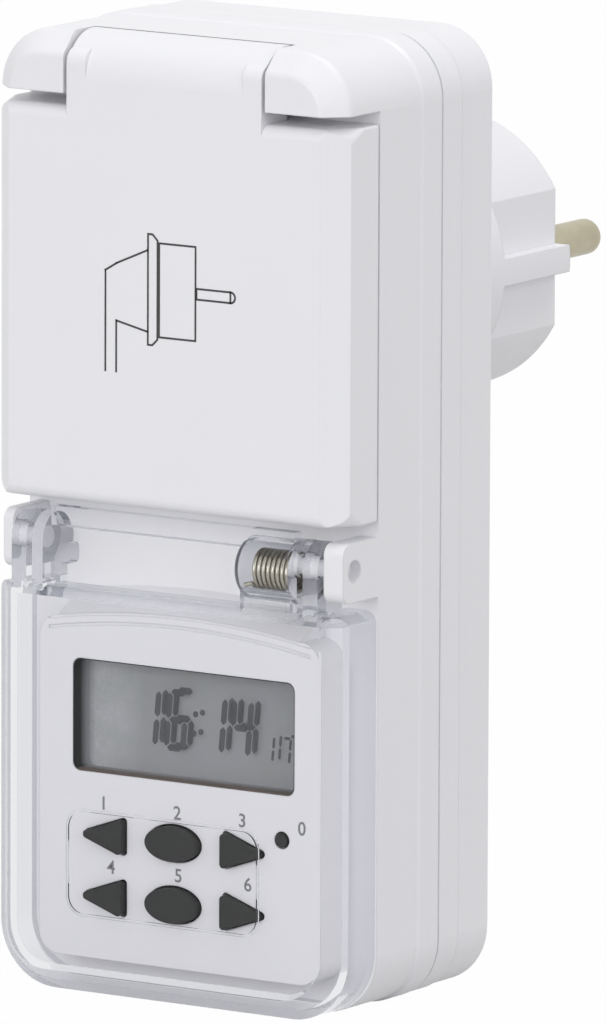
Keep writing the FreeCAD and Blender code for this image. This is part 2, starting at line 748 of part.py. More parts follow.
def make_keys():
    """Keys with a flange that the panel holds back."""
    parts = {}
    for name in key_names():
        proud = RESET_PROUD if name == "reset_key" else KEY_PROUD
        cap = key_form(name, 0, PANEL_FRONT - proud, KEY_FLANGE_FRONT)
        flange = key_form(name, KEY_CLEARANCE + KEY_FLANGE, KEY_FLANGE_FRONT, KEY_FLANGE_BACK)
        parts[name] = fuse_all([cap, flange])
    return parts


def case_screws_at():
    """Places of the casing's screws across X and Z."""
    return [(x, z) for x in (-SCREW_X, SCREW_X) for z in (SCREW_Z_LOWER, SCREW_Z_UPPER)]


def board_screws_at():
    """Places of the power board's screws across X and Z."""
    rows = (BOARD_SCREW_LOWER, BOARD_SCREW_UPPER)
    return [(x, z) for x in (-BOARD_SCREW_X, BOARD_SCREW_X) for z in rows]


def display_screws_at():
    """Places of the clock board's screws across X and Z."""
    return [(x, DISPLAY_SCREW_Z) for x in (-DISPLAY_SCREW_X, DISPLAY_SCREW_X)]


def cover_ear(side, outer):
    """Ear of the casing that holds an axle of the cover."""
    ear = side_box(side, EAR_INNER, outer, EAR_FRONT, CASE_FRONT + ROOT, EAR_BOTTOM, EAR_TOP)
    level = [e for e in edges_at_y(ear, EAR_FRONT) if e.BoundBox.ZLength < 1e-4]
    return ear.makeFillet(EAR_ROUND, level)


def window_opening():
    """Rounded opening of the panel in front of the display."""
    window = slab(WINDOW_HALF_WIDTH, WINDOW_BOTTOM, WINDOW_TOP, WINDOW_CORNER, PANEL_FRONT, PANEL_BACK)
    return window.translated(Vector(WINDOW_X, 0, 0))


def make_front_shell():
    """Front half of the casing."""
    shell = fuse_all([
        case_part(CASE_FRONT, RIDGE, 0),
        ridge_bevel(),
        case_part(RIDGE + RIDGE_STEP, SEAM, RIDGE_STEP),
        panel_outline(0, PANEL_FRONT, CASE_FRONT + ROOT),
        panel_ramp(),
        rod_y(0, 0, COLLAR_OUTER, SOCKET_RIM + RIM_SHEET, FRONT_INNER),
        cover_ear(-1, CASE_HALF_WIDTH - COVER_PIN_RECESS),
        cover_ear(1, CASE_HALF_WIDTH),
    ] + knuckles())
    shell = shell.cut(case_part(FRONT_INNER, SEAM, -WALL))
    shell = shell.cut(panel_outline(PANEL_WALL, PANEL_BACK, FRONT_INNER))
    bosses = [rod_y(x, z, BOSS_RADIUS, CASE_FRONT + ROOT, SEAM) for x, z in case_screws_at()]
    post = SMALL_HEAD + ASSEMBLY_GAP
    bosses += [rod_y(x, z, post, PANEL_BACK - ROOT, BOARD_FRONT) for x, z in display_screws_at()]
    shell = fuse_all([shell] + bosses)
    cuts = [
        rod_y(0, 0, COLLAR_INNER, SOCKET_RIM, SEAM),
        lid_sweep(tongue_reach() + SWEEP_GAP, TONGUE_HALF_WIDTH + TONGUE_GAP),
        lid_sweep(LID_PIN_RADIUS, LID_PIN_END),
        window_opening(),
        arch_groove(0),
        arch_groove(ARCH_LINE_PITCH),
        rod_x(COVER_AXIS_Y, COVER_AXIS_Z, COVER_PIN_RADIUS, -CASE_HALF_WIDTH, CASE_HALF_WIDTH),
        case_part(SEAM - SEAM_GROOVE, SEAM, 1).cut(
            case_part(SEAM - SEAM_GROOVE, SEAM, RIDGE_STEP - SEAM_GROOVE)
        ),
    ]
    cuts += [key_form(name, KEY_CLEARANCE, PANEL_FRONT, PANEL_BACK) for name in key_names()]
    cuts += [rod_y(x, z, SCREW_RADIUS, SCREW_HEAD_FRONT - SCREW_LENGTH, SEAM) for x, z in case_screws_at()]
    cuts += [rod_y(x, z, SMALL_SCREW, PANEL_BACK, BOARD_FRONT) for x, z in display_screws_at()]
    for cut in cuts:
        shell = shell.cut(cut)
    return shell


def make_rear_shell():
    """Rear half of the casing, open for the plug body."""
    back = case_part(REAR_STEP, CASE_BACK, 0)
    back = back.makeFillet(BACK_ROUND, edges_at_y(back, CASE_BACK))
    shell = fuse_all([case_part(SEAM, REAR_STEP, REAR_STEP_OUT), back])
    shell = shell.cut(case_part(SEAM, REAR_INNER, -WALL))
    inside = case_part(SEAM, REAR_INNER + ROOT, ROOT - WALL)
    pocket = SCREW_HEAD + BOSS_WALL
    bosses = [rod_y(x, z, BOSS_RADIUS, SEAM, REAR_INNER + ROOT) for x, z in case_screws_at()]
    bosses += [
        rod_y(x, z, pocket, SCREW_HEAD_FRONT - BOSS_WALL, REAR_INNER + ROOT).common(inside)
        for x, z in case_screws_at()
    ]
    post = SMALL_HEAD + ROOT
    bosses += [rod_y(x, z, post, POWER_BOARD_BACK, REAR_INNER + ROOT) for x, z in board_screws_at()]
    shell = fuse_all([shell] + bosses)
    cuts = [rod_y(0, 0, PLUG_RADIUS + PLUG_SEAT_GAP, REAR_INNER, CASE_BACK)]
    cuts += [rod_y(x, z, SCREW_RADIUS + ASSEMBLY_GAP, SEAM, CASE_BACK) for x, z in case_screws_at()]
    cuts += [rod_y(x, z, SCREW_HEAD, SCREW_HEAD_FRONT, CASE_BACK) for x, z in case_screws_at()]
    cuts += [rod_y(x, z, SMALL_SCREW, POWER_BOARD_BACK, REAR_INNER) for x, z in board_screws_at()]
    for cut in cuts:
        shell = shell.cut(cut)
    return shell


def make_plug_body():
    """Plug body: round, with two flats that each keep a middle rib, and a flange inside the casing."""
    flange_front = REAR_INNER - PLUG_FLANGE_SHEET
    body = fuse_all([
        rod_y(0, 0, PLUG_RADIUS, flange_front, 0),
        rod_y(0, 0, PLUG_RADIUS + PLUG_FLANGE, flange_front, REAR_INNER),
    ])
    rib = PLUG_RIB_WIDTH / 2
    for side in (-1, 1):
        for z0, z1 in ((rib, PLUG_RADIUS), (-PLUG_RADIUS, -rib)):
            body = body.cut(side_box(side, PLUG_FLAT, PLUG_RADIUS, -PLUG_FLAT_LENGTH, 0, z0, z1))
    wide_end = -PLUG_FLAT_LENGTH - PLUG_WALL
    narrow = PLUG_FLAT - PLUG_WALL
    body = body.cut(rod_y(0, 0, PLUG_INNER, flange_front, wide_end))
    tip = rod_y(0, 0, PLUG_INNER, wide_end, -PLUG_END_WALL)
    body = body.cut(tip.common(box(-narrow, narrow, wide_end, 0, -PLUG_RADIUS, PLUG_RADIUS)))
    groove = EARTH_FACE - EARTH_SHEET
    half = EARTH_WIDTH / 2 + ASSEMBLY_GAP
    start = -PLUG_FLAT_LENGTH
    for side in (-1, 1):
        body = body.cut(rod_y(side * PIN_X, 0, PIN_TAIL_RADIUS, -PLUG_END_WALL, 0))
        body = body.cut(end_box(side, -half, half, start, 0, groove, PLUG_RADIUS))
        body = body.cut(
            end_box(side, -half, half, start, start + 2 * EARTH_SHEET, EARTH_RING_INNER, PLUG_RADIUS)
        )
    return body


def make_socket_lid():
    """Lid with facets, corners that sharpen towards the back, tongue and hinge cheeks."""
    even = FLAP_FRONT + LID_CORNER_DEPTH
    front = slab(CASE_HALF_WIDTH, LID_BOTTOM, LID_TOP, LID_CORNER_FRONT, FLAP_FRONT, even)
    rear = slab(CASE_HALF_WIDTH, LID_BOTTOM, LID_TOP, LID_CORNER_BACK, even, FLAP_BACK)
    outer = fuse_all([taper(front, FLAP_FRONT, rear, even), rear])
    outer = outer.common(plan_profile(CASE_HALF_WIDTH, FLAP_FRONT, FLAP_BACK, LID_BOTTOM, LID_TOP))
    outer = outer.common(
        side_profile(FLAP_FRONT, FLAP_BACK, LID_BOTTOM, LID_TOP, LID_ROUND, LID_ROUND, CASE_HALF_WIDTH)
    )
    low = LID_BOTTOM + LID_WALL
    high = LID_TOP - LID_WALL
    hollow = plan_profile(CASE_HALF_WIDTH - LID_WALL, FLAP_FRONT + LID_WALL, FLAP_BACK, low, high)
    lid = outer.cut(hollow)
    open_half = TONGUE_HALF_WIDTH - TONGUE_CHEEK
    behind = box(-open_half, open_half, FLAP_FRONT + LID_WALL, FLAP_BACK, LID_TOP - 2 * LID_WALL, LID_TOP)
    lid = fuse_all([lid.cut(behind), tongue()])
    return lid.cut(lid_sweep(LID_PIN_RADIUS + RUNNING_GAP, TONGUE_HALF_WIDTH))


def tongue_profile():
    """Tongue drawn across X: up the front, round and back along the top."""
    centre_y = FLAP_FRONT + TONGUE_ROUND
    centre_z = CASE_TOP - TONGUE_ROUND
    root = LID_TOP - LID_ROUND - TONGUE_ROOT
    inner = TONGUE_ROUND - LID_WALL
    lean = math.sqrt(0.5)
    x0 = -TONGUE_HALF_WIDTH
    p = [
        Vector(x0, FLAP_FRONT, root),
        Vector(x0, FLAP_FRONT, centre_z),
        Vector(x0, centre_y - TONGUE_ROUND * lean, centre_z + TONGUE_ROUND * lean),
        Vector(x0, centre_y, CASE_TOP),
        Vector(x0, TONGUE_BACK, CASE_TOP),
        Vector(x0, TONGUE_BACK, CASE_TOP - LID_WALL),
        Vector(x0, centre_y, CASE_TOP - LID_WALL),
        Vector(x0, centre_y - inner * lean, centre_z + inner * lean),
        Vector(x0, FLAP_FRONT + LID_WALL, centre_z),
        Vector(x0, FLAP_FRONT + LID_WALL, root),
    ]
    edges = [
        Part.LineSegment(p[0], p[1]).toShape(),
        Part.Arc(p[1], p[2], p[3]).toShape(),
        Part.LineSegment(p[3], p[4]).toShape(),
        Part.LineSegment(p[4], p[5]).toShape(),
        Part.LineSegment(p[5], p[6]).toShape(),
        Part.Arc(p[6], p[7], p[8]).toShape(),
        Part.LineSegment(p[8], p[9]).toShape(),
        Part.LineSegment(p[9], p[0]).toShape(),
    ]
    return Part.Face(Part.Wire(edges)).extrude(Vector(2 * TONGUE_HALF_WIDTH, 0, 0))


def tongue():
    """Hinge tongue of the lid, with a cheek at each end for the axle."""
    whole = tongue_profile()
    cheek_start = TONGUE_HALF_WIDTH - TONGUE_CHEEK
    low = LID_TOP - LID_WALL
    boss = LID_AXIS_Y - FLAP_FRONT
    ear = side_profile(
        FLAP_FRONT, LID_AXIS_Y + boss, low, CASE_TOP - LID_WALL, 0, LID_WALL, TONGUE_HALF_WIDTH
    )
    ends = fuse_all([whole, ear])
    forms = [whole.cut(lid_sweep(LID_SPRING_RADIUS + LID_SPRING_WIRE, cheek_start))]
    for side in (-1, 1):
        end = side_box(side, cheek_start, TONGUE_HALF_WIDTH, FLAP_FRONT, CASE_FRONT, low, CASE_TOP)
        forms.append(ends.common(end))
    return fuse_all(forms)


def make_lid_gasket():
    """Rubber ring in the lid that meets the socket's rim."""
    outer = SOCKET_OUTER + GASKET_WIDTH / 2
    return ring_y(0, 0, outer, outer - GASKET_WIDTH, FLAP_FRONT + LID_WALL, SOCKET_RIM - FLAP_SEAT_GAP)


def make_lid_spring():
    """Torsion spring on the lid's axle."""
    pitch = LID_SPRING_WIRE + SPRING_COIL_GAP
    start = -LID_SPRING_TURNS * pitch / 2
    edges = coil_edges(
        LID_AXIS_Y, LID_AXIS_Z, LID_SPRING_RADIUS, start, pitch, 0, LID_SPRING_TURNS
    )
    print("lid_spring least gap", round(least_gap(edges, LID_SPRING_WIRE, POINTS_PER_TURN // 2), 3))
    return wire_tube(edges, LID_SPRING_WIRE)


def cover_lug(x0, x1):
    """Lug of the cover: a disc about its axle with a web down to the cover."""
    disc = rod_x(COVER_AXIS_Y, COVER_AXIS_Z, LUG_RADIUS, x0, x1)
    front = COVER_AXIS_Y - LUG_RADIUS
    web = box(x0, x1, front, COVER_AXIS_Y + LUG_BACK, COVER_TOP - COVER_WALL / 2, COVER_AXIS_Z)
    return fuse_all([disc, web])


def cover_heel():
    """Heel behind and below the axle at the cover's left inner lug."""
    heel = box(
        -LUG_INNER_END,
        -LUG_INNER_START,
        COVER_AXIS_Y,
        COVER_AXIS_Y + HEEL_BACK,
        COVER_AXIS_Z - HEEL_BELOW,
        COVER_AXIS_Z - HEEL_UNDER_AXIS,
    )
    ends = [e for e in edges_at_y(heel, COVER_AXIS_Y + HEEL_BACK) if e.BoundBox.ZLength < 1e-4]
    return heel.makeFillet(HEEL_ROUND, ends)


def cover_barrel():
    """Clear barrel round the hanging spring, with a web down to the cover."""
    barrel = rod_x(BARREL_Y, BARREL_Z, BARREL_RADIUS, BARREL_INNER_X, LUG_INNER_START)
    rim = [e for e in barrel.Edges if e.BoundBox.XMax < BARREL_INNER_X + 1e-4]
    barrel = barrel.makeFillet(BARREL_ROUND, rim)
    web_front = BARREL_Y - BARREL_RADIUS + BARREL_WALL / 2
    web = box(
        BARREL_INNER_X + BARREL_ROUND,
        LUG_INNER_START,
        web_front,
        web_front + BARREL_WEB,
        COVER_TOP - COVER_WALL / 2,
        BARREL_Z - BARREL_RADIUS / 2,
    )
    return fuse_all([barrel, web])


def cover_shell():
    """Clear cover without its hinge."""
    top = COVER_TOP + 2 * COVER_CORNER
    outer = faceted(
        CASE_HALF_WIDTH, CASE_BOTTOM, top, COVER_CORNER, FLAP_FRONT, FLAP_BACK, FACET_WIDTH, FACET_DEPTH
    )
    outer = outer.common(
        side_profile(FLAP_FRONT, FLAP_BACK, CASE_BOTTOM, COVER_TOP, 0, COVER_WALL, CASE_HALF_WIDTH)
    )
    shoulders = slab(CASE_HALF_WIDTH, CASE_BOTTOM, COVER_TOP, COVER_SHOULDER, FLAP_FRONT, FLAP_BACK)
    outer = outer.common(shoulders)
    saved = COVER_WALL * (2 - math.sqrt(2))
    hollow = faceted(
        CASE_HALF_WIDTH - COVER_WALL,
        CASE_BOTTOM + COVER_WALL,
        top,
        COVER_CORNER - COVER_WALL,
        FLAP_FRONT + COVER_WALL,
        FLAP_BACK,
        FACET_WIDTH - saved,
        FACET_DEPTH - saved,
    )
    limit = box(
        -CASE_HALF_WIDTH, CASE_HALF_WIDTH, FLAP_FRONT, FLAP_BACK, CASE_BOTTOM, COVER_TOP - COVER_WALL
    )
    outer = outer.cut(hollow.common(limit))
    half = PANEL_HALF_WIDTH + COVER_WALL / 2
    behind = box(-half, half, COVER_TOP_WALL_BACK, FLAP_BACK, COVER_TOP - 2 * COVER_WALL, COVER_TOP)
    return outer.cut(behind)


def press_frame():
    """Fine rounded rectangle cut into the cover in front of the keys."""
    back = FLAP_FRONT + LINE_DEPTH
    line = PRESS_FRAME_LINE
    outer = slab(
        PRESS_FRAME_HALF, PRESS_FRAME_BOTTOM, PRESS_FRAME_TOP, PRESS_FRAME_ROUND, FLAP_FRONT, back
    )
    inner = slab(
        PRESS_FRAME_HALF - line,
        PRESS_FRAME_BOTTOM + line,
        PRESS_FRAME_TOP - line,
        PRESS_FRAME_ROUND - line,
        FLAP_FRONT,
        back,
    )
    return outer.cut(inner)


def make_clear_cover():
    """Clear cover with lugs, heel, spring barrel and cross bar."""
    half = LUG_INNER_START
    bar = box(-half, half, COVER_AXIS_Y - BAR_DEPTH, COVER_AXIS_Y, BAR_TOP - BAR_HEIGHT, BAR_TOP)
    forms = [cover_shell(), cover_barrel(), cover_heel(), bar]
    for x0, x1 in ((LUG_INNER_START, LUG_INNER_END), (LUG_OUTER_START, LUG_OUTER_END)):
        forms += [cover_lug(x0, x1), cover_lug(-x1, -x0)]
    cover = fuse_all(forms)
    inside = BARREL_INNER_X + BARREL_WALL
    room = BARREL_RADIUS - BARREL_WALL
    bore = COVER_PIN_RADIUS + RUNNING_GAP
    cover = cover.cut(rod_x(BARREL_Y, BARREL_Z, room, inside, LUG_INNER_START))
    cover = cover.cut(rod_x(COVER_AXIS_Y, COVER_AXIS_Z, bore, LUG_INNER_START, CASE_HALF_WIDTH))
    cover = cover.cut(rod_x(COVER_AXIS_Y, COVER_AXIS_Z, bore, -CASE_HALF_WIDTH, -LUG_INNER_END))
    return cover.cut(press_frame())


def make_cover_spring():
    """Torsion spring that hangs on its axle in the cover's barrel, with its short leg."""
    pitch = COVER_SPRING_WIRE + SPRING_COIL_GAP
    first = math.radians(COVER_SPRING_START)
    coil = coil_edges(
        COVER_AXIS_Y, COVER_COIL_Z, COVER_SPRING_RADIUS, COVER_COIL_X, pitch, first, COVER_SPRING_TURNS
    )
    foot = coil[0].valueAt(coil[0].FirstParameter)
    heading = coil_heading(COVER_SPRING_RADIUS, pitch, first)
    across = Vector(1, 0, 0)
    turn = foot - across * COVER_SPRING_BEND - heading * COVER_SPRING_BEND
    length = COVER_SPRING_LEG - COVER_SPRING_BEND - COVER_SPRING_WIRE / 2
    leg = Part.LineSegment(turn - across * length, turn).toShape()
    edges = [leg] + biarc(turn, across, foot, heading) + coil
    print("cover_spring least gap", round(least_gap(edges, COVER_SPRING_WIRE, POINTS_PER_TURN // 2), 3))
    return wire_tube(edges, COVER_SPRING_WIRE)


def make_hinge_pins():
    """Axles of the lid and of the cover."""
    outer = CASE_HALF_WIDTH - COVER_PIN_RECESS
    left_end = -LUG_INNER_END - LUG_SPACE / 2
    return {
        "lid_hinge_pin": lid_sweep(LID_PIN_RADIUS, LID_PIN_END),
        "cover_pin_right": rod_x(COVER_AXIS_Y, COVER_AXIS_Z, COVER_PIN_RADIUS, COVER_COIL_X, outer),
        "cover_pin_left": rod_x(COVER_AXIS_Y, COVER_AXIS_Z, COVER_PIN_RADIUS, -outer, left_end),
    }


def make_plug_pin(side):
    """Round plug pin with a rounded tip and a thinner tail."""
    tail = rod_y(side * PIN_X, 0, PIN_TAIL_RADIUS, -PIN_TAIL, 0)
    shank = rod_y(side * PIN_X, 0, PIN_RADIUS, 0, PIN_LENGTH)
    shank = shank.makeFillet(PIN_TIP_ROUND, edges_at_y(shank, PIN_LENGTH))
    return fuse_all([tail, shank])


def make_pin_carrier():
    """Insulating block that holds the plug pins."""
    narrow = PLUG_FLAT - PLUG_WALL - ASSEMBLY_GAP
    block = rod_y(0, 0, PLUG_INNER - ASSEMBLY_GAP, -PIN_TAIL, -PLUG_END_WALL)
    block = block.common(box(-narrow, narrow, -PIN_TAIL, -PLUG_END_WALL, -PLUG_INNER, PLUG_INNER))
    for side in (-1, 1):
        block = block.cut(rod_y(side * PIN_X, 0, PIN_TAIL_RADIUS, -PIN_TAIL, -PLUG_END_WALL))
    return block


def make_plug_earth_contacts():
    """Earth strips on the plug, each with a tail to the earth link."""
    half = EARTH_WIDTH / 2
    start = ASSEMBLY_GAP - PLUG_FLAT_LENGTH
    bend = start + EARTH_SHEET
    inner = PLUG_INNER - PLUG_WALL + EARTH_RECESS
    back = EARTH_RING_FRONT + EARTH_SHEET
    strips = []
    for side in (-1, 1):
        strips.append(fuse_all([
            end_box(side, -half, half, start, -EARTH_END_GAP, EARTH_FACE - EARTH_SHEET, EARTH_FACE),
            end_box(side, -half, half, start, bend, inner, EARTH_FACE),
            end_box(side, -half, half, back, bend, inner, inner + EARTH_SHEET),
        ]))
    return group(strips)


def make_earth_link():
    """Earth strip bent round one side, from the top clip to the bottom clip."""
    back = EARTH_RING_FRONT + EARTH_SHEET
    ring = ring_y(0, 0, EARTH_RING_OUTER, EARTH_RING_INNER, EARTH_RING_FRONT, back)
    reach = EARTH_RING_OUTER
    return ring.common(box(-reach, EARTH_WIDTH / 2, EARTH_RING_FRONT, back, -reach, reach))


def make_socket_insert():
    """Round socket cup with rim, floor, guide noses and the shutter's ring."""
    cup = fuse_all([
        rod_y(0, 0, SOCKET_OUTER, SOCKET_RIM, SOCKET_FLOOR_BACK),
        rod_y(0, 0, COLLAR_OUTER + ASSEMBLY_GAP, SOCKET_RIM, SOCKET_RIM + RIM_SHEET),
        rod_y(0, 0, SHUTTER_RING + SHUTTER_RING_WALL, SOCKET_FLOOR_BACK, SHUTTER_COVER_BACK),
    ])
    inner = SOCKET_RADIUS - SOCKET_STEP
    cup = cup.cut(rod_y(0, 0, SOCKET_RADIUS, SOCKET_RIM, SOCKET_RIM + SOCKET_ENTRY))
    cup = cup.cut(rod_y(0, 0, inner, SOCKET_RIM, SOCKET_FLOOR_FRONT))
    cup = cup.cut(rod_y(0, 0, SHUTTER_RING, SOCKET_FLOOR_BACK, SHUTTER_COVER_BACK))
    forms = [cup, rod_y(0, 0, SHUTTER_PIVOT, SOCKET_FLOOR_FRONT, SHUTTER_COVER_FRONT)]
    high = NOSE_HALF_HEIGHT
    groove = NOSE_GROOVE / 2
    reach = rod_y(0, 0, SOCKET_OUTER, NOSE_FRONT, SOCKET_FLOOR_BACK)
    for side in (-1, 1):
        nose = side_box(side, NOSE_FLAT, SOCKET_OUTER, NOSE_FRONT, SOCKET_FLOOR_BACK, -high, high)
        slot = side_box(side, NOSE_FLAT, inner, NOSE_FRONT, SOCKET_FLOOR_FRONT, -groove, groove)
        forms.append(nose.common(reach).cut(slot))
    cup = fuse_all(forms)
    half = EARTH_WIDTH / 2 + ASSEMBLY_GAP
    low = EARTH_CLIP - ASSEMBLY_GAP
    top = EARTH_CLIP + EARTH_SHEET + ASSEMBLY_GAP
    for side in (-1, 1):
        cup = cup.cut(rod_y(side * PIN_X, 0, APERTURE_RADIUS, SOCKET_FLOOR_FRONT, SOCKET_FLOOR_BACK))
        cup = cup.cut(end_box(side, -half, half, SOCKET_FLOOR_FRONT, SOCKET_FLOOR_BACK, low, top))
    return cup


def make_socket_contact(side):
    """Split spring tube that takes a plug pin."""
    x = side * PIN_X
    inner = PIN_RADIUS + CONTACT_CLEARANCE
    outer = inner + CONTACT_WALL
    tube = ring_y(x, 0, outer, inner, CONTACT_FRONT, CONTACT_BACK)
    half = CONTACT_SLIT / 2
    return tube.cut(box(x - half, x + half, CONTACT_FRONT, CONTACT_BACK - CONTACT_ROOT, 0, outer))


def make_socket_earth_clips():
    """Earth clips at the top and bottom of the socket."""
    half = EARTH_WIDTH / 2
    outer = EARTH_CLIP + EARTH_SHEET
    clips = []
    for side in (-1, 1):
        blade = end_box(side, -half, half, NOSE_FRONT, EARTH_RING_FRONT, EARTH_CLIP, outer)
        foot_front = EARTH_RING_FRONT - EARTH_SHEET
        foot = end_box(side, -half, half, foot_front, EARTH_RING_FRONT, EARTH_RING_OUTER - CLIP_FOOT, outer)
        clips.append(fuse_all([blade, foot]))
    return group(clips)


def make_shutter():
    """Two-winged shutter behind the socket floor."""
    half = SHUTTER_ARM
    plates = [
        rod_y(0, 0, SHUTTER_HUB, SHUTTER_FRONT, SHUTTER_BACK),
        box(-PIN_X, PIN_X, SHUTTER_FRONT, SHUTTER_BACK, -half, half),
    ]
    plates += [rod_y(side * PIN_X, 0, SHUTTER_PAD, SHUTTER_FRONT, SHUTTER_BACK) for side in (-1, 1)]
    hole = rod_y(0, 0, SHUTTER_PIVOT + SHUTTER_RUN, SHUTTER_FRONT, SHUTTER_BACK)
    return fuse_all(plates).cut(hole)


def make_shutter_spring():
    """Leaf spring beside the shutter's right wing."""
    top = -SHUTTER_PAD - LEAF_GAP
    low = top - LEAF_SHEET
    end = math.sqrt((SHUTTER_RING - ASSEMBLY_GAP) ** 2 - low ** 2)
    return box(LEAF_START, end, SHUTTER_FRONT + ASSEMBLY_GAP, SHUTTER_BACK - ASSEMBLY_GAP, low, top)


def make_shutter_cover():
    """Plate that closes the shutter's ring and guides the pins."""
    front = SHUTTER_COVER_FRONT
    back = SHUTTER_COVER_BACK
    plate = rod_y(0, 0, SHUTTER_RING - SHUTTER_COVER_GAP, front, back)
    for side in (-1, 1):
        plate = plate.cut(rod_y(side * PIN_X, 0, APERTURE_RADIUS, front, back))
    return plate


def pin_strip(side):
    """Strip from a plug pin forward to the power board."""
    x0 = side * PIN_X - STRIP_WIDTH / 2
    x1 = side * PIN_X + STRIP_WIDTH / 2
    tail = -PIN_TAIL
    low = -STRIP_DROP
    high = low + STRIP_SHEET
    return [
        box(x0, x1, tail - STRIP_SHEET, tail, low, STRIP_WIDTH / 2),
        box(x0, x1, POWER_BOARD_BACK, tail - STRIP_SHEET, low, high),
        box(x0, x1, POWER_BOARD_BACK, POWER_BOARD_BACK + STRIP_SHEET, POWER_BOARD_TOP - STRIP_LAP, high),
    ]


def make_busbars():
    """Current path between plug pins, board and socket contacts."""
    half = STRIP_WIDTH / 2
    contact = CONTACT_BACK
    back = contact + STRIP_SHEET
    outer = PLUG_INNER - OUTPUT_INSET
    inner = outer - STRIP_SHEET
    board = POWER_BOARD_FRONT
    join = box(-PIN_X - half, half - PIN_X, contact, back, STRIP_SHEET - STRIP_DROP, half)
    output = [
        box(PIN_X - half, outer, contact, back, -half, half),
        box(inner, outer, board - STRIP_WIDTH, back, -half, half),
        box(inner, outer, board - STRIP_WIDTH, board, POWER_BOARD_TOP - STRIP_LAP, half),
    ]
    return {
        "neutral_busbar": fuse_all(pin_strip(-1) + [join]),
        "live_input_busbar": fuse_all(pin_strip(1)),
        "live_output_busbar": fuse_all(output),
    }


def board_block(x, top, width, depth, height):
    """Box-shaped component on the front of the power board."""
    front = POWER_BOARD_FRONT
    return box(x - width / 2, x + width / 2, front - depth, front, top - height, top)


def board_rod(x, z, radius, length):
    """Round component that lies on the front of the power board."""
    return rod_x(POWER_BOARD_FRONT - radius, z, radius, x - length / 2, x + length / 2)


def make_power_board():
    """Power board with the parts that it carries."""
    front = POWER_BOARD_FRONT
    board = slab(POWER_BOARD_HALF, BOARD_BOTTOM, POWER_BOARD_TOP, BOARD_CORNER, front, POWER_BOARD_BACK)
    for x, z in board_screws_at():
        board = board.cut(rod_y(x, z, SMALL_SCREW + ASSEMBLY_GAP, front, POWER_BOARD_BACK))
    diode_rows = [DIODE_TOP - DIODE_PITCH * count for count in range(4)]
    link_foot = BOARD_BOTTOM + LINK_FOOT
    link = box(-LINK_LENGTH / 2, LINK_LENGTH / 2, BOARD_BACK, front, link_foot, link_foot + LINK_HEIGHT)
    return {
        "power_board": board,
        "relay": board_block(RELAY_X, RELAY_TOP, RELAY_WIDTH, RELAY_DEPTH, RELAY_HEIGHT),
        "dropper_capacitor": board_block(
            DROPPER_X, DROPPER_TOP, DROPPER_LENGTH, DROPPER_DEPTH, DROPPER_HEIGHT
        ),
        "smoothing_capacitor": rod_y(
            SMOOTHING_X, SMOOTHING_Z, SMOOTHING_RADIUS, front - SMOOTHING_HEIGHT, front
        ),
        "varistor": board_rod(VARISTOR_X, VARISTOR_Z, VARISTOR_RADIUS, VARISTOR_SHEET),
        "fuse_resistor": board_rod(RESISTOR_X, RESISTOR_Z, RESISTOR_RADIUS, RESISTOR_LENGTH),
        "rectifier_diodes": group([board_rod(DIODE_X, z, DIODE_RADIUS, DIODE_LENGTH) for z in diode_rows]),
        "board_link": link,
    }


def make_display():
    """Display glass, reflector, contact strips and frame."""
    half = WINDOW_HALF_WIDTH + LCD_SIDE_MARGIN
    low = WINDOW_BOTTOM - LCD_MARGIN
    high = WINDOW_TOP + LCD_MARGIN
    side = half + LCD_FRAME_WALL
    end = LCD_FRAME_WALL / 2
    frame = box(-side, side, LCD_FRONT, BOARD_FRONT, low - end, high + end)
    frame = frame.cut(box(-half, half, LCD_FRONT, LCD_BACK, low, high))
    reflector = box(
        -WINDOW_HALF_WIDTH, WINDOW_HALF_WIDTH, LCD_BACK, REFLECTOR_BACK, WINDOW_BOTTOM, WINDOW_TOP
    )
    frame = frame.cut(reflector)
    strips = []
    for z0 in (low + ZEBRA_INSET, high - ZEBRA_INSET - ZEBRA_HEIGHT):
        strip = box(-WINDOW_HALF_WIDTH, WINDOW_HALF_WIDTH, LCD_BACK, BOARD_FRONT, z0, z0 + ZEBRA_HEIGHT)
        frame = frame.cut(strip)
        strips.append(strip)
    shapes = {
        "lcd_glass": box(-half, half, LCD_FRONT, LCD_BACK, low, high),
        "lcd_reflector": reflector,
        "lcd_frame": frame,
        "zebra_strips": group(strips),
    }
    return {name: shape.translated(Vector(WINDOW_X, 0, 0)) for name, shape in shapes.items()}


def make_clock_board():
    """Clock board and what its back carries."""
    back = BOARD_BACK
    half = DISPLAY_BOARD_HALF
    board = slab(half, BOARD_BOTTOM, DISPLAY_BOARD_TOP, BOARD_CORNER, BOARD_FRONT, back)
    for x, z in display_screws_at():
        board = board.cut(rod_y(x, z, SMALL_SCREW + ASSEMBLY_GAP, BOARD_FRONT, back))
    chip = CHIP_SIDE / 2
    crystal_end = CHIP_X + CRYSTAL_LENGTH / 2
    return {
        "display_board": board,
        "microcontroller": box(
            CHIP_X - chip, CHIP_X + chip, back, back + CHIP_SHEET, CHIP_Z - chip, CHIP_Z + chip
        ),
        "clock_crystal": rod_x(
            back + CRYSTAL_RADIUS, CRYSTAL_Z, CRYSTAL_RADIUS, crystal_end - CRYSTAL_LENGTH, crystal_end
        ),
        "backup_battery": rod_y(BATTERY_X, BATTERY_Z, BATTERY_RADIUS, back, back + BATTERY_SHEET),
    }


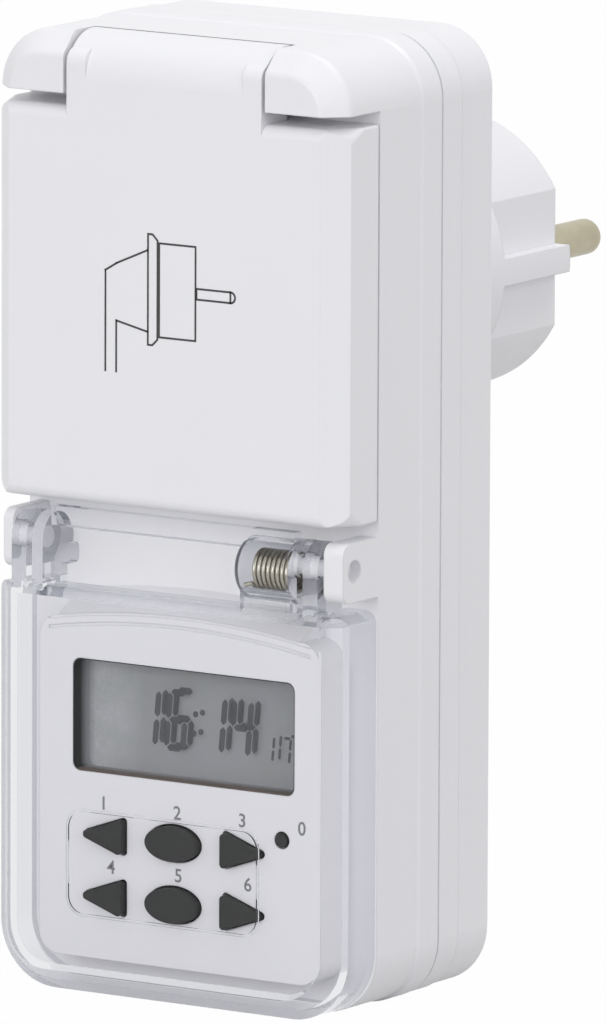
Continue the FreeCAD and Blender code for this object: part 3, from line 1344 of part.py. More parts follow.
def make_keypad_mat():
    """Rubber mat with a dome behind every key."""
    front = BOARD_FRONT - MAT_SHEET
    right = KEYS_X + ARROW_TIP + MAT_EDGE
    left = KEYS_X - ARROW_TIP - MAT_EDGE
    dome_top = KEY_FLANGE_BACK + KEY_TRAVEL + DOME_GAP
    reach = DOME_RADIUS + MAT_EDGE
    forms = [
        box(left, right, front, BOARD_FRONT, BOARD_BOTTOM, MAT_TOP),
        box(right - MAT_EDGE, RESET_X + reach, front, BOARD_FRONT, RESET_Z - reach, MAT_TOP),
    ]
    for x, z in key_centres():
        radius = RESET_RADIUS if x == RESET_X else DOME_RADIUS
        forms.append(rod_y(x, z, radius, dome_top, BOARD_FRONT))
    return fuse_all(forms)


def crossed_screw(x, z):
    """Casing screw with a cross slot in its head."""
    front = SCREW_HEAD_FRONT
    back = front + SCREW_HEAD_SHEET
    radius = SCREW_HEAD - SCREW_HEAD_GAP
    screw = fuse_all([
        rod_y(x, z, radius, front, back),
        rod_y(x, z, SCREW_RADIUS, front - SCREW_LENGTH, front),
    ])
    half = SCREW_SLOT / 2
    arm = 2 * radius / 3
    slot_front = back - SCREW_SLOT
    screw = screw.cut(box(x - half, x + half, slot_front, back, z - arm, z + arm))
    return screw.cut(box(x - arm, x + arm, slot_front, back, z - half, z + half))


def make_screws():
    """Casing, board and display screws, each set in one node."""
    board_set = []
    for x, z in board_screws_at():
        front = POWER_BOARD_FRONT
        head = rod_y(x, z, SMALL_HEAD, front - SMALL_HEAD_DEPTH, front)
        board_set.append(fuse_all([head, rod_y(x, z, SMALL_SCREW, front, REAR_INNER)]))
    display_set = []
    for x, z in display_screws_at():
        head = rod_y(x, z, SMALL_HEAD, BOARD_BACK, BOARD_BACK + SMALL_HEAD_DEPTH)
        display_set.append(fuse_all([head, rod_y(x, z, SMALL_SCREW, PANEL_BACK + ROOT, BOARD_BACK)]))
    return {
        "housing_screws": group([crossed_screw(x, z) for x, z in case_screws_at()]),
        "board_screws": group(board_set),
        "display_screws": group(display_set),
    }


def make_housing_seal():
    """Rubber cord inside the joint of the two shells."""
    y0 = SEAM - SEAL_HEIGHT / 2
    y1 = SEAM + SEAL_HEIGHT / 2
    inset = WALL + SEAL_GAP
    return case_part(y0, y1, -inset).cut(case_part(y0, y1, -inset - SEAL_SHEET))


def build_parts():
    """Every node by name."""
    parts = {
        "front_shell": make_front_shell(),
        "rear_shell": make_rear_shell(),
        "plug_body": make_plug_body(),
        "housing_seal": make_housing_seal(),
        "socket_lid": make_socket_lid(),
        "lid_gasket": make_lid_gasket(),
        "lid_spring": make_lid_spring(),
        "clear_cover": make_clear_cover(),
        "cover_spring": make_cover_spring(),
        "plug_pin_live": make_plug_pin(1),
        "plug_pin_neutral": make_plug_pin(-1),
        "pin_carrier": make_pin_carrier(),
        "plug_earth_contacts": make_plug_earth_contacts(),
        "earth_link": make_earth_link(),
        "socket_insert": make_socket_insert(),
        "socket_contact_live": make_socket_contact(1),
        "socket_contact_neutral": make_socket_contact(-1),
        "socket_earth_clips": make_socket_earth_clips(),
        "shutter": make_shutter(),
        "shutter_spring": make_shutter_spring(),
        "shutter_cover": make_shutter_cover(),
        "keypad_mat": make_keypad_mat(),
    }
    parts.update(make_hinge_pins())
    parts.update(make_busbars())
    parts.update(make_power_board())
    parts.update(make_display())
    parts.update(make_clock_board())
    parts.update(make_keys())
    parts.update(make_screws())
    return parts


os.makedirs("parts", exist_ok=True)
for name, shape in build_parts().items():
    if not shape.isValid():
        print("not valid:", name)
    print(name, "solids", len(shape.Solids), "volume", round(shape.Volume, 2))
    shape.exportStep(f"parts/{name}.step")
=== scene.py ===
"""Plug-in weekly timer: finishes, printed marks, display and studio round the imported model."""
import json
import math

import bpy
from mathutils import Matrix, Vector


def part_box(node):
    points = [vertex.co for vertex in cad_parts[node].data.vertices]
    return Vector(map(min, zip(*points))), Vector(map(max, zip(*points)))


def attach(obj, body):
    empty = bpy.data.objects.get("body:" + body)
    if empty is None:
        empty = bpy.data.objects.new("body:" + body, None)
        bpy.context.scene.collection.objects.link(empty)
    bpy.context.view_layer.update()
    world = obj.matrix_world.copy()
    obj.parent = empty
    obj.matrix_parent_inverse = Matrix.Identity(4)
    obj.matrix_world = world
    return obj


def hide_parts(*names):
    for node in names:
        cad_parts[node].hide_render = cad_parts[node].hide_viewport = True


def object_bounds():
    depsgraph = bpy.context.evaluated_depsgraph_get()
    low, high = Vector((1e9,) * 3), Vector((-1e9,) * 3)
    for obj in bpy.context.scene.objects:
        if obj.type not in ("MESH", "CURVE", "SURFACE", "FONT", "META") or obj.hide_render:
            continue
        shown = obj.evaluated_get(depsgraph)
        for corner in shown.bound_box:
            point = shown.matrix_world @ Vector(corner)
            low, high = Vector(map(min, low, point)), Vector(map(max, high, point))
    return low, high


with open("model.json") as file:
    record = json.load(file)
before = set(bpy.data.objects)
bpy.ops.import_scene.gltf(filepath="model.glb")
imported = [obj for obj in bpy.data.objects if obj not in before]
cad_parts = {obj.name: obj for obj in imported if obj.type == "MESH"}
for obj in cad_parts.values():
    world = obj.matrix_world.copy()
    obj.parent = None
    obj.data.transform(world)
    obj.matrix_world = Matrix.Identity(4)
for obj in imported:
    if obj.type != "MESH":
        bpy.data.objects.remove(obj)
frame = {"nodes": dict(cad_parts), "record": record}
cad_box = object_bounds()

MM = 0.001
RIGHT_ANGLE = math.pi / 2

# Camera that took the photograph
PHOTO_HEIGHT = 1024
FOCAL_PIXELS = 15739.9
SENSOR = 24.0
CAMERA_YAW = math.radians(33.404)
CAMERA_PITCH = math.radians(9.521)
CAMERA_ROLL = -0.004
CAMERA_DISTANCE = 2096.73 * MM
CAMERA_SIDE = 19.848 * MM
CAMERA_RISE = 35.46 * MM
CAMERA_SEES = 20.0

# How near two places count as one, in millimetres
SAME_PLACE = 0.01
WELD = 0.005

# Printed marks, in millimetres across X and Z
INK_SHEET = 0.03
INK_GAP = 0.01
SYMBOL_LINE = 0.26
PLUG_FLANGE = (-2.48, -0.73, -4.69, 10.1)
PLUG_FLANGE_BEVEL = 0.85
PLUG_BODY = (-0.73, 5.2, -3.56, 9.02)
PLUG_PIN = (5.1, 11.35, 1.9, 3.56)
PLUG_PIN_ROUND = 0.82
PLUG_PIN_ROUNDS = 8
PLUG_PIN_LINE = ((10.5, 2.0), (10.5, 3.46))
CABLE_OUTER = ((-9.0, -8.5), (-9.0, 4.7), (-7.2, 5.77), (-2.38, 7.85))
CABLE_INNER = ((-7.3, -8.5), (-7.3, -1.8), (-2.38, -2.87))
SYMBOL_INK = (0.035, 0.033, 0.035)

# Numbers beside the keys: height, weight and centre in millimetres. A numeral stands
# NUMERAL_SHARE of its font's size tall, and the keys stand KEY_PROUD out of the panel.
KEY_PROUD = 1.1
NUMBER_HEIGHT = 1.75
NUMERAL_SHARE = 0.69
NUMBER_DROP = 0.9
NUMBER_WEIGHT = 0.03
NUMBER_INK = (0.2, 0.2, 0.205)
NUMBERS = (
    ("1", -11.8, -66.6),
    ("2", -0.2, -66.7),
    ("3", 10.0, -66.6),
    ("0", 19.3, -66.7),
    ("4", -10.6, -75.0),
    ("5", 0.0, -75.0),
    ("6", 10.9, -75.0),
)

# Digits of the display, in millimetres; each has its centre along X and its scale
DIGIT_HEIGHT = 8.3
DIGIT_WIDTH = 3.5
DIGIT_LOW = -59.05
DIGIT_LEAN = 0.09
SEGMENT = 0.9
SEGMENT_GAP = 0.12
SMALL_SCALE = 0.45
COLON_RADIUS = 0.42
COLON_SIDES = 24
COLON_X = 0.8
COLON_ROWS = (-53.8, -56.4)
DIGIT_PLACES = (("1", -6.47, 1.0), ("6", -2.1, 1.0), ("1", 3.94, 1.0), ("4", 8.05, 1.0))
SECOND_PLACES = (("1", 12.7, SMALL_SCALE), ("7", 15.3, SMALL_SCALE))
SEGMENTS_LIT = {"1": "bc", "4": "bcfg", "6": "acdefg", "7": "abc"}
CRYSTAL_BEHIND_GLASS = 0.15
CRYSTAL_DARK = (0.03, 0.03, 0.035)
CRYSTAL_COVER = 0.9
SHADOW_BEFORE_FILM = 0.06
SHADOW_DARK = (0.08, 0.08, 0.09)
SHADOW_COVER = 0.6

# Lining of the display's window, in millimetres, and its colours; its dark front fading to grey is
# painted shade of the window's recess
WINDOW_ROUND = 1.2
WINDOW_ROUNDS = 6
LINING_SHEET = 0.12
LINING_GAP = 0.05
LINING_EDGE = 0.02
LINING_SHOWN_BELOW = 0.3
LINING_DARK_SHARE = 0.42
LINING_DARK = (0.012, 0.012, 0.013)
LINING_BROWN = (0.16, 0.125, 0.105)
LINING_GREY = (0.42, 0.43, 0.45)

# Film behind the digits: painted light along X and a painted shadow at its left edge, in
# millimetres, and by how much
FILM_PAINTED_LIGHT = (-16.0, -8.0)
FILM_PAINTED_LIGHT_GAIN = 1.8
FILM_SHADOW = (-18.3, -15.6)
FILM_DARKER = 0.6
FILM_GREEN = (0.38, 0.41, 0.34)
FILM_VIOLET = (0.4, 0.4, 0.46)

# Clear plastic: how slanting a surface is seen, from 0 to 1, where its painted grey shade begins
# and is full
CLEAR_IOR = 1.16
GREY_FROM = 0.18
GREY_FULL = 0.46

# White plastic of the casing and the lid
MOULDED_WHITE = (0.86, 0.86, 0.885)

# Wound spring in the cover's barrel, in millimetres
COIL_WIRE = 0.6
COIL_RADIUS = 2.5
COIL_PITCH = 0.72
COIL_TURNS = 8
COIL_START = 12.85
COIL_FOOT = (-0.95, -0.5, -0.25)
COIL_FOOT_TURN = math.radians(50)
COIL_STEPS = 32
WIRE_SIDES = 12
SMOOTH_UNDER = math.radians(40)

# Studio: each lamp's place and side in metres, and its watts
FLOOR_SIZE = 12.0
FLOOR_GLOW = 0.985
FLOOR_GREY = (0.5, 0.5, 0.5, 1)
PURE_WHITE = (1, 1, 1, 1)
SKY_WHITE = (0.985, 0.985, 1.0, 1)
SKY_LIGHT = 0.62
LAMP_AIM = Vector((0, -0.05, -0.03))
LAMPS = {
    "lamp_front": ((-0.1, -1.7, 0.35), 0.8, 8.0),
    "lamp_top": ((0.3, 0.3, 1.5), 1.0, 8.0),
    "lamp_side": ((1.6, -0.7, 0.6), 1.0, 4.6),
}

# Sockets of a Mix node that mixes colours
MIX_FACTOR, MIX_FIRST, MIX_SECOND, MIX_RESULT = 0, 6, 7, 2


class Signal:
    """A number or colour that changes over a surface. Its operators add Math nodes."""

    def __init__(self, finish, socket):
        self.finish = finish
        self.socket = socket

    def maths(self, operation, first, second):
        """Result of one Math node."""
        node = self.finish.node("ShaderNodeMath", {"operation": operation}, {0: first, 1: second})
        return Signal(self.finish, node.outputs[0])

    def __add__(self, other):
        return self.maths("ADD", self, other)

    def __radd__(self, other):
        return self.maths("ADD", other, self)

    def __sub__(self, other):
        return self.maths("SUBTRACT", self, other)

    def __rsub__(self, other):
        return self.maths("SUBTRACT", other, self)

    def __mul__(self, other):
        return self.maths("MULTIPLY", self, other)

    def __rmul__(self, other):
        return self.maths("MULTIPLY", other, self)

    def above(self, edge):
        """1 where the signal is over an edge, and 0 elsewhere."""
        return self.maths("GREATER_THAN", self, edge)

    def ramp(self, low, high):
        """0 at low, 1 at high, clamped."""
        sockets = {"Value": self, "From Min": low, "From Max": high}
        node = self.finish.node("ShaderNodeMapRange", {"clamp": True}, sockets)
        return Signal(self.finish, node.outputs[0])


class Wiring:
    """Nodes of one material or world while it is made."""

    def __init__(self, tree):
        self.tree = tree

    def node(self, kind, settings=None, sockets=None):
        """Adds a node, sets it up and feeds its sockets."""
        made = self.tree.nodes.new(kind)
        for key, value in (settings or {}).items():
            setattr(made, key, value)
        for key, value in (sockets or {}).items():
            self.feed(made.inputs[key], value)
        return made

    def feed(self, socket, value):
        """Links a signal to a socket, or sets a plain value on it."""
        if isinstance(value, Signal):
            self.tree.links.new(value.socket, socket)
        else:
            socket.default_value = value

    def ray(self, kind):
        """1 for one kind of ray, and 0 for the others."""
        return Signal(self, self.node("ShaderNodeLightPath").outputs[kind])

    def in_view(self):
        """1 for what is seen straight, in a reflection or through something clear."""
        kinds = ("Is Camera Ray", "Is Glossy Ray", "Is Transmission Ray")
        straight, mirrored, through = [self.ray(kind) for kind in kinds]
        return (straight + mirrored + through).ramp(0, 1)

    def either(self, factor, first, second):
        """Shader between two shaders."""
        sockets = {0: factor, 1: first, 2: second}
        return Signal(self, self.node("ShaderNodeMixShader", None, sockets).outputs[0])


class Finish(Wiring):
    """One material while it is made."""

    def __init__(self, name):
        self.material = bpy.data.materials.new(name)
        self.material.use_nodes = True
        super().__init__(self.material.node_tree)
        self.shader = self.tree.nodes["Principled BSDF"]
        self.output = self.tree.nodes["Material Output"]

    def cover(self, shader):
        """Makes a shader the surface of the material."""
        self.feed(self.output.inputs["Surface"], shader)

    def paint(self, **values):
        """Sets sockets of the main shader: words are joined by underscores."""
        for key, value in values.items():
            self.feed(self.shader.inputs[key.replace("_", " ")], value)

    def place(self):
        """Place on the object, in metres."""
        return Signal(self, self.node("ShaderNodeTexCoord").outputs["Object"])

    def along(self, axis):
        """Distance along X, Y or Z on the object, in millimetres."""
        split = self.node("ShaderNodeSeparateXYZ", None, {0: self.place()})
        return Signal(self, split.outputs[axis]) * (1 / MM)

    def clouds(self, size, detail=2.0, stretch=(1, 1, 1)):
        """Soft noise of that size in millimetres."""
        sockets = {0: self.place(), 1: stretch}
        stretched = self.node("ShaderNodeVectorMath", {"operation": "MULTIPLY"}, sockets)
        place = Signal(self, stretched.outputs[0])
        sockets = {"Vector": place, "Scale": 1 / (size * MM), "Detail": detail}
        return Signal(self, self.node("ShaderNodeTexNoise", None, sockets).outputs["Fac"])

    def slant(self):
        """0 where the surface is seen square on, 1 where it is seen edge on."""
        node = self.node("ShaderNodeLayerWeight", None, {"Blend": 0.5})
        return Signal(self, node.outputs["Facing"])

    def mix(self, factor, first, second):
        """Colour between two colours."""
        sockets = {MIX_FACTOR: factor, MIX_FIRST: opaque(first), MIX_SECOND: opaque(second)}
        node = self.node("ShaderNodeMix", {"data_type": "RGBA"}, sockets)
        return Signal(self, node.outputs[MIX_RESULT])

    def rounded(self, radius):
        """Normals that round every edge by that radius in millimetres."""
        node = self.node("ShaderNodeBevel", {"samples": 4}, {"Radius": radius * MM})
        return Signal(self, node.outputs[0])

    def bump(self, height, depth, strength, under=None):
        """Relief of that depth in millimetres."""
        sockets = {"Height": height, "Distance": depth * MM, "Strength": strength}
        if under is not None:
            sockets["Normal"] = under
        return Signal(self, self.node("ShaderNodeBump", None, sockets).outputs[0])


def opaque(colour):
    """Colour with its alpha, if it has none yet."""
    if isinstance(colour, Signal) or len(colour) == 4:
        return colour
    return (*colour, 1.0)


def shade(colour, factor):
    """Colour made lighter or darker."""
    return tuple(min(1.0, part * factor) for part in colour)


def moulded_plastic(name, colour, roughness=0.42):
    """Satin moulded plastic with a fine grain, faint flow marks and rounded edges."""
    finish = Finish(name)
    flow = finish.clouds(size=22.0, detail=3.0)
    grit = finish.clouds(size=0.35)
    rub = finish.clouds(size=4.0, detail=4.0)
    finish.paint(
        Base_Color=finish.mix(flow, shade(colour, 0.985), shade(colour, 1.01)),
        Roughness=roughness + 0.08 * rub.ramp(0.3, 0.7) - 0.04,
        Normal=finish.bump(grit, depth=0.02, strength=0.25, under=finish.rounded(0.25)),
    )
    return finish.material


def soft_rubber(name, colour):
    """Moulded rubber, slightly dusty, lighter where it is rubbed."""
    finish = Finish(name)
    dust = finish.clouds(size=1.6, detail=5.0)
    grit = finish.clouds(size=0.22)
    finish.paint(
        Base_Color=finish.mix(dust.ramp(0.35, 0.75), shade(colour, 0.85), shade(colour, 1.35)),
        Roughness=0.55 + 0.15 * dust,
        Normal=finish.bump(grit, depth=0.03, strength=0.4, under=finish.rounded(0.28)),
    )
    return finish.material


def drawn_metal(name, colour, roughness, stretch=(1, 1, 1), tint=None):
    """Plated or drawn metal with fine lines along one axis, stained darker or with a tint."""
    finish = Finish(name)
    lines = finish.clouds(size=0.25, stretch=stretch)
    stain = finish.clouds(size=3.0, detail=4.0)
    finish.paint(
        Base_Color=finish.mix(stain.ramp(0.35, 0.7), colour, tint or shade(colour, 0.85)),
        Metallic=1.0,
        Roughness=roughness + 0.12 * stain,
        Normal=finish.bump(lines, depth=0.01, strength=0.3, under=finish.rounded(0.12)),
    )
    return finish.material


def clear_moulding(name, colour, edge_on_shade, mirrored, lit_through):
    """Clear moulded plastic, with painted grey shade where it is seen at a slant. Mirrored and soft
    light goes straight through; mirrored light is greyed, a painted shade in reflections.
    """
    finish = Finish(name)
    smear = finish.clouds(size=7.0, detail=4.0)
    # Painted shade: greyer where the surface is seen edge on, in place of the dark rims of clear
    # plastic.
    grey = finish.slant().ramp(GREY_FROM, GREY_FULL)
    finish.paint(
        Base_Color=finish.mix(grey, colour, edge_on_shade),
        Transmission_Weight=1.0,
        IOR=CLEAR_IOR,
        Roughness=0.015 + 0.03 * smear.ramp(0.45, 0.8),
    )
    surface = Signal(finish, finish.shader.outputs[0])
    rays = {
        "Is Reflection Ray": mirrored,
        "Is Diffuse Ray": lit_through,
        "Is Shadow Ray": lit_through,
    }
    for kind, tint in rays.items():
        through = finish.node("ShaderNodeBsdfTransparent", None, {"Color": opaque(tint)})
        surface = finish.either(finish.ray(kind), surface, Signal(finish, through.outputs[0]))
    finish.cover(surface)
    return finish.material


def display_pane(name, colour):
    """Glass of the display: nearly clear, with a hard gloss."""
    finish = Finish(name)
    smear = finish.clouds(size=5.0, detail=3.0)
    finish.paint(
        Base_Color=opaque(colour),
        Roughness=0.06 + 0.05 * smear,
        Alpha=0.12,
        Specular_IOR_Level=0.6,
    )
    return finish.material


def display_film(name, colour):
    """Reflector behind the digits: grey with faint colours, painted lighter to the left and with a
    painted shadow at its left edge.
    """
    finish = Finish(name)
    sparkle = finish.clouds(size=0.4, detail=3.0)
    blotch = finish.clouds(size=3.5)
    across = finish.along("X")
    # Painted light: paler to the left, where the window's wall shades the film; a painted shadow
    # makes its left edge darker still.
    painted_light = finish.mix(across.ramp(*FILM_PAINTED_LIGHT), shade(colour, FILM_PAINTED_LIGHT_GAIN), colour)
    painted_light_and_shadow = finish.mix(across.ramp(*FILM_SHADOW), shade(colour, FILM_DARKER), painted_light)
    tinted = finish.mix(blotch.ramp(0.35, 0.65) * 0.3, painted_light_and_shadow, FILM_GREEN)
    finish.paint(
        Base_Color=finish.mix(sparkle.ramp(0.3, 0.7) * 0.35, tinted, FILM_VIOLET),
        Roughness=0.5 + 0.1 * sparkle,
        Metallic=0.1,
    )
    return finish.material


def circuit_board(name, colour):
    """Solder mask over copper tracks."""
    finish = Finish(name)
    tracks = finish.clouds(size=2.2, detail=0.0, stretch=(1, 1, 0.35)).ramp(0.49, 0.52)
    weave = finish.clouds(size=0.3)
    finish.paint(
        Base_Color=finish.mix(tracks, colour, shade(colour, 1.7)),
        Roughness=0.35 + 0.1 * weave,
        Normal=finish.bump(tracks, depth=0.035, strength=0.6),
        Coat_Weight=0.3,
    )
    return finish.material


def printing_ink(name, colour):
    """Thin printed ink with slightly uneven cover."""
    finish = Finish(name)
    cover = finish.clouds(size=0.5, detail=3.0)
    finish.paint(
        Base_Color=finish.mix(cover, colour, shade(colour, 1.35)),
        Roughness=0.5 + 0.15 * cover,
    )
    return finish.material


def lining_painted_shade(name, foot, front, back):
    """Lining of the window: dark in front, brown at its foot, and fading to grey at its back; the
    dark and its fade are painted shade of the recess.
    """
    finish = Finish(name)
    cover = finish.clouds(size=0.5, detail=3.0)
    edge = finish.mix(1 - finish.along("Z").above(foot), LINING_DARK, LINING_BROWN)
    finish.paint(
        # Painted shade: dark at the front of the recess, fading to grey at its back.
        Base_Color=finish.mix(finish.along("Y").ramp(front, back), edge, LINING_GREY),
        Roughness=0.5 + 0.15 * cover,
    )
    return finish.material


def crystal_ink(name, colour, alpha):
    """Dark liquid crystal, a little see-through."""
    finish = Finish(name)
    cells = finish.clouds(size=0.35, detail=1.0, stretch=(1, 1, 0.2))
    finish.paint(
        Base_Color=finish.mix(cells, colour, shade(colour, 1.3)),
        Roughness=0.5,
        Alpha=alpha,
    )
    return finish.material


def finishes():
    """A material for every slot of the record."""
    return {
        "shell_white": moulded_plastic("moulded_shell_white", MOULDED_WHITE),
        "lid_white": moulded_plastic("moulded_lid_white", MOULDED_WHITE, 0.38),
        "clear_plastic": clear_moulding(
            "clear_cover_plastic",
            colour=(0.955, 0.955, 0.965),
            # Painted shade: grey where the cover is seen at a slant and in what is mirrored through
            # it.
            edge_on_shade=(0.72, 0.73, 0.755),
            mirrored=(0.84, 0.85, 0.865),
            lit_through=(0.98, 0.98, 0.985),
        ),
        "seal_rubber": soft_rubber("seal_rubber", (0.03, 0.03, 0.03)),
        "key_rubber": soft_rubber("key_rubber", (0.02, 0.02, 0.019)),
        "mat_rubber": soft_rubber("mat_rubber", (0.45, 0.46, 0.47)),
        "spring_steel": drawn_metal(
            "spring_steel", (0.55, 0.52, 0.45), 0.2, tint=(0.42, 0.37, 0.28)
        ),
        "axle_steel": drawn_metal("axle_steel", (0.62, 0.62, 0.62), 0.3, (0.1, 1, 1)),
        "pin_nickel": drawn_metal("pin_nickel", (0.5, 0.46, 0.34), 0.3, (1, 0.1, 1)),
        "contact_brass": drawn_metal("contact_brass", (0.72, 0.55, 0.28), 0.3, (1, 0.1, 1)),
        "insert_plastic": moulded_plastic("socket_insert_plastic", (0.78, 0.78, 0.79)),
        "carrier_plastic": moulded_plastic("pin_carrier_plastic", (0.1, 0.1, 0.105), 0.5),
        "shutter_plastic": moulded_plastic("shutter_plastic", (0.74, 0.74, 0.72)),
        "lcd_glass": display_pane("display_pane", (0.4, 0.42, 0.43)),
        "lcd_reflector": display_film("display_film", (0.44, 0.45, 0.465)),
        "frame_plastic": moulded_plastic("frame_plastic", (0.6, 0.6, 0.6)),
        "board_green": circuit_board("board_green", (0.02, 0.12, 0.05)),
        "component_black": moulded_plastic("component_black", (0.03, 0.03, 0.033), 0.5),
        "component_blue": moulded_plastic("component_blue", (0.03, 0.08, 0.3), 0.25),
        "capacitor_yellow": moulded_plastic("capacitor_yellow", (0.6, 0.4, 0.05), 0.3),
        "cell_steel": drawn_metal("cell_steel", (0.6, 0.6, 0.6), 0.25),
        "screw_steel": drawn_metal("screw_steel", (0.58, 0.58, 0.57), 0.32),
    }


def dress_nodes():
    """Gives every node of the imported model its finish."""
    made = finishes()
    for part in frame["record"]["subparts"]:
        node = frame["nodes"][part["node"]]
        node.data.materials.clear()
        node.data.materials.append(made[part["material_slot"]])


def finish_of(node):
    """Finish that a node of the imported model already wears."""
    return frame["nodes"][node].data.materials[0]


def deselect():
    """Starts from nothing selected."""
    bpy.ops.object.select_all(action="DESELECT")


def settle(piece, name, finish):
    """Names a piece, leaves its place in its mesh and gives it its finish."""
    deselect()
    piece.select_set(True)
    bpy.context.view_layer.objects.active = piece
    bpy.ops.object.transform_apply(location=True, rotation=True, scale=True)
    piece.name = name
    piece.data.name = name
    piece.data.materials.clear()
    piece.data.materials.append(finish)
    return piece


def joined(pieces):
    """One object from several."""
    deselect()
    for piece in pieces:
        piece.select_set(True)
    bpy.context.view_layer.objects.active = pieces[0]
    bpy.ops.object.join()
    return bpy.context.view_layer.objects.active


def flat_sheet(x0, x1, z0, z1, y):
    """Plane that faces the front, left in edit mode with everything selected."""
    deselect()
    bpy.ops.mesh.primitive_plane_add(
        size=1,
        location=((x0 + x1) / 2 * MM, y * MM, (z0 + z1) / 2 * MM),
        rotation=(RIGHT_ANGLE, 0, 0),
    )
    sheet = bpy.context.object
    sheet.scale = ((x1 - x0) * MM, (z1 - z0) * MM, 1)
    bpy.ops.object.transform_apply(location=True, rotation=True, scale=True)
    bpy.ops.object.mode_set(mode="EDIT")
    bpy.ops.mesh.select_all(action="SELECT")
    return sheet


def leave_edit():
    """Turns all faces of the piece in edit mode outwards and leaves that mode."""
    bpy.ops.mesh.select_all(action="SELECT")
    bpy.ops.mesh.normals_make_consistent(inside=False)
    bpy.ops.object.mode_set(mode="OBJECT")


def draw_out(way):
    """Extrudes all of the piece in edit mode that far, in millimetres, and leaves that mode."""
    bpy.ops.mesh.select_all(action="SELECT")
    bpy.ops.mesh.extrude_region_move(TRANSFORM_OT_translate={"value": way * MM})
    leave_edit()


def keep_rim(width):
    """Cuts the middle out of the sheet in edit mode and leaves a rim of that width."""
    bpy.ops.mesh.select_all(action="SELECT")
    bpy.ops.mesh.select_mode(type="FACE")
    bpy.ops.mesh.inset(thickness=width * MM, depth=0)
    bpy.ops.mesh.delete(type="FACE")


def select_right_corners(sheet):
    """Selects the right-hand corners of the sheet in edit mode."""
    bpy.ops.mesh.select_all(action="DESELECT")
    bpy.ops.object.mode_set(mode="OBJECT")
    right = max(vertex.co.x for vertex in sheet.data.vertices)
    for vertex in sheet.data.vertices:
        vertex.select = vertex.co.x > right - SAME_PLACE * MM
    bpy.ops.object.mode_set(mode="EDIT")
    bpy.ops.mesh.select_mode(type="VERT")


def outline(bounds, y, bevel=0.0, rounds=1):
    """Line drawn round a rectangle, with the right-hand corners cut or rounded."""
    sheet = flat_sheet(*bounds, y)
    if bevel:
        select_right_corners(sheet)
        bpy.ops.mesh.bevel(offset=bevel * MM, segments=rounds, affect="VERTICES")
    keep_rim(SYMBOL_LINE)
    draw_out(Vector((0, -INK_SHEET, 0)))
    return sheet


def ink_bar(start, end, y):
    """Straight printed line between two points across X and Z."""
    x0, z0 = start
    x1, z1 = end
    reach = (math.hypot(x1 - x0, z1 - z0) + SYMBOL_LINE) / 2
    bar = flat_sheet(-reach, reach, -SYMBOL_LINE / 2, SYMBOL_LINE / 2, 0)
    draw_out(Vector((0, -INK_SHEET, 0)))
    bar.rotation_euler = (0, -math.atan2(z1 - z0, x1 - x0), 0)
    bar.location = ((x0 + x1) / 2 * MM, y * MM, (z0 + z1) / 2 * MM)
    bpy.ops.object.transform_apply(location=True, rotation=True, scale=True)
    return bar


def lid_symbol(ink):
    """Line drawing of an angled plug, printed on the lid."""
    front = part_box("socket_lid")[0].y / MM - INK_GAP
    lines = [
        outline(PLUG_FLANGE, front, PLUG_FLANGE_BEVEL),
        outline(PLUG_BODY, front),
        outline(PLUG_PIN, front, PLUG_PIN_ROUND, PLUG_PIN_ROUNDS),
    ]
    for route in (PLUG_PIN_LINE, CABLE_OUTER, CABLE_INNER):
        for start, end in zip(route, route[1:]):
            lines.append(ink_bar(start, end, front))
    symbol = settle(joined(lines), "lid_symbol", ink)
    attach(symbol, "lid")


def key_numbers(ink):
    """Plain number beside each key, printed on the control panel."""
    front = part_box("key_2")[0].y / MM + KEY_PROUD - INK_GAP
    made = []
    for number, x, z in NUMBERS:
        deselect()
        place = (x * MM, front * MM, (z - NUMBER_DROP) * MM)
        bpy.ops.object.text_add(location=place, rotation=(RIGHT_ANGLE, 0, 0))
        text = bpy.context.object
        text.data.body = number
        text.data.align_x = "CENTER"
        text.data.size = NUMBER_HEIGHT / NUMERAL_SHARE * MM
        text.data.extrude = INK_SHEET / 2 * MM
        text.data.offset = NUMBER_WEIGHT * MM
        bpy.ops.object.convert(target="MESH")
        made.append(bpy.context.object)
    numbers = settle(joined(made), "key_numbers", ink)
    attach(numbers, "casing")


def segment(x, z, length, upright, scale, y):
    """One bar of a digit, pointed at both ends."""
    half = SEGMENT / 2 * scale
    reach = length / 2 - SEGMENT_GAP * scale
    half_x, half_z = (half, reach) if upright else (reach, half)
    bar = flat_sheet(x - half_x, x + half_x, z - half_z, z + half_z, y)
    bpy.ops.mesh.select_mode(type="VERT")
    bpy.ops.mesh.bevel(offset=half * MM, affect="VERTICES")
    bpy.ops.mesh.select_all(action="SELECT")
    bpy.ops.mesh.remove_doubles(threshold=WELD * MM)
    bpy.ops.object.mode_set(mode="OBJECT")
    return bar


def digit_bars(number, x, scale, y):
    """Lit bars of one digit."""
    half_w = (DIGIT_WIDTH - SEGMENT) / 2 * scale
    half_h = (DIGIT_HEIGHT - SEGMENT) / 2 * scale
    middle = DIGIT_LOW + DIGIT_HEIGHT / 2 * scale
    places = {
        "a": (0, half_h, False),
        "b": (half_w, half_h / 2, True),
        "c": (half_w, -half_h / 2, True),
        "d": (0, -half_h, False),
        "e": (-half_w, -half_h / 2, True),
        "f": (-half_w, half_h / 2, True),
        "g": (0, 0, False),
    }
    bars = []
    for letter in SEGMENTS_LIT[number]:
        dx, dz, upright = places[letter]
        length = half_h if upright else 2 * half_w
        bars.append(segment(x + dx, middle + dz, length, upright, scale, y))
    return bars


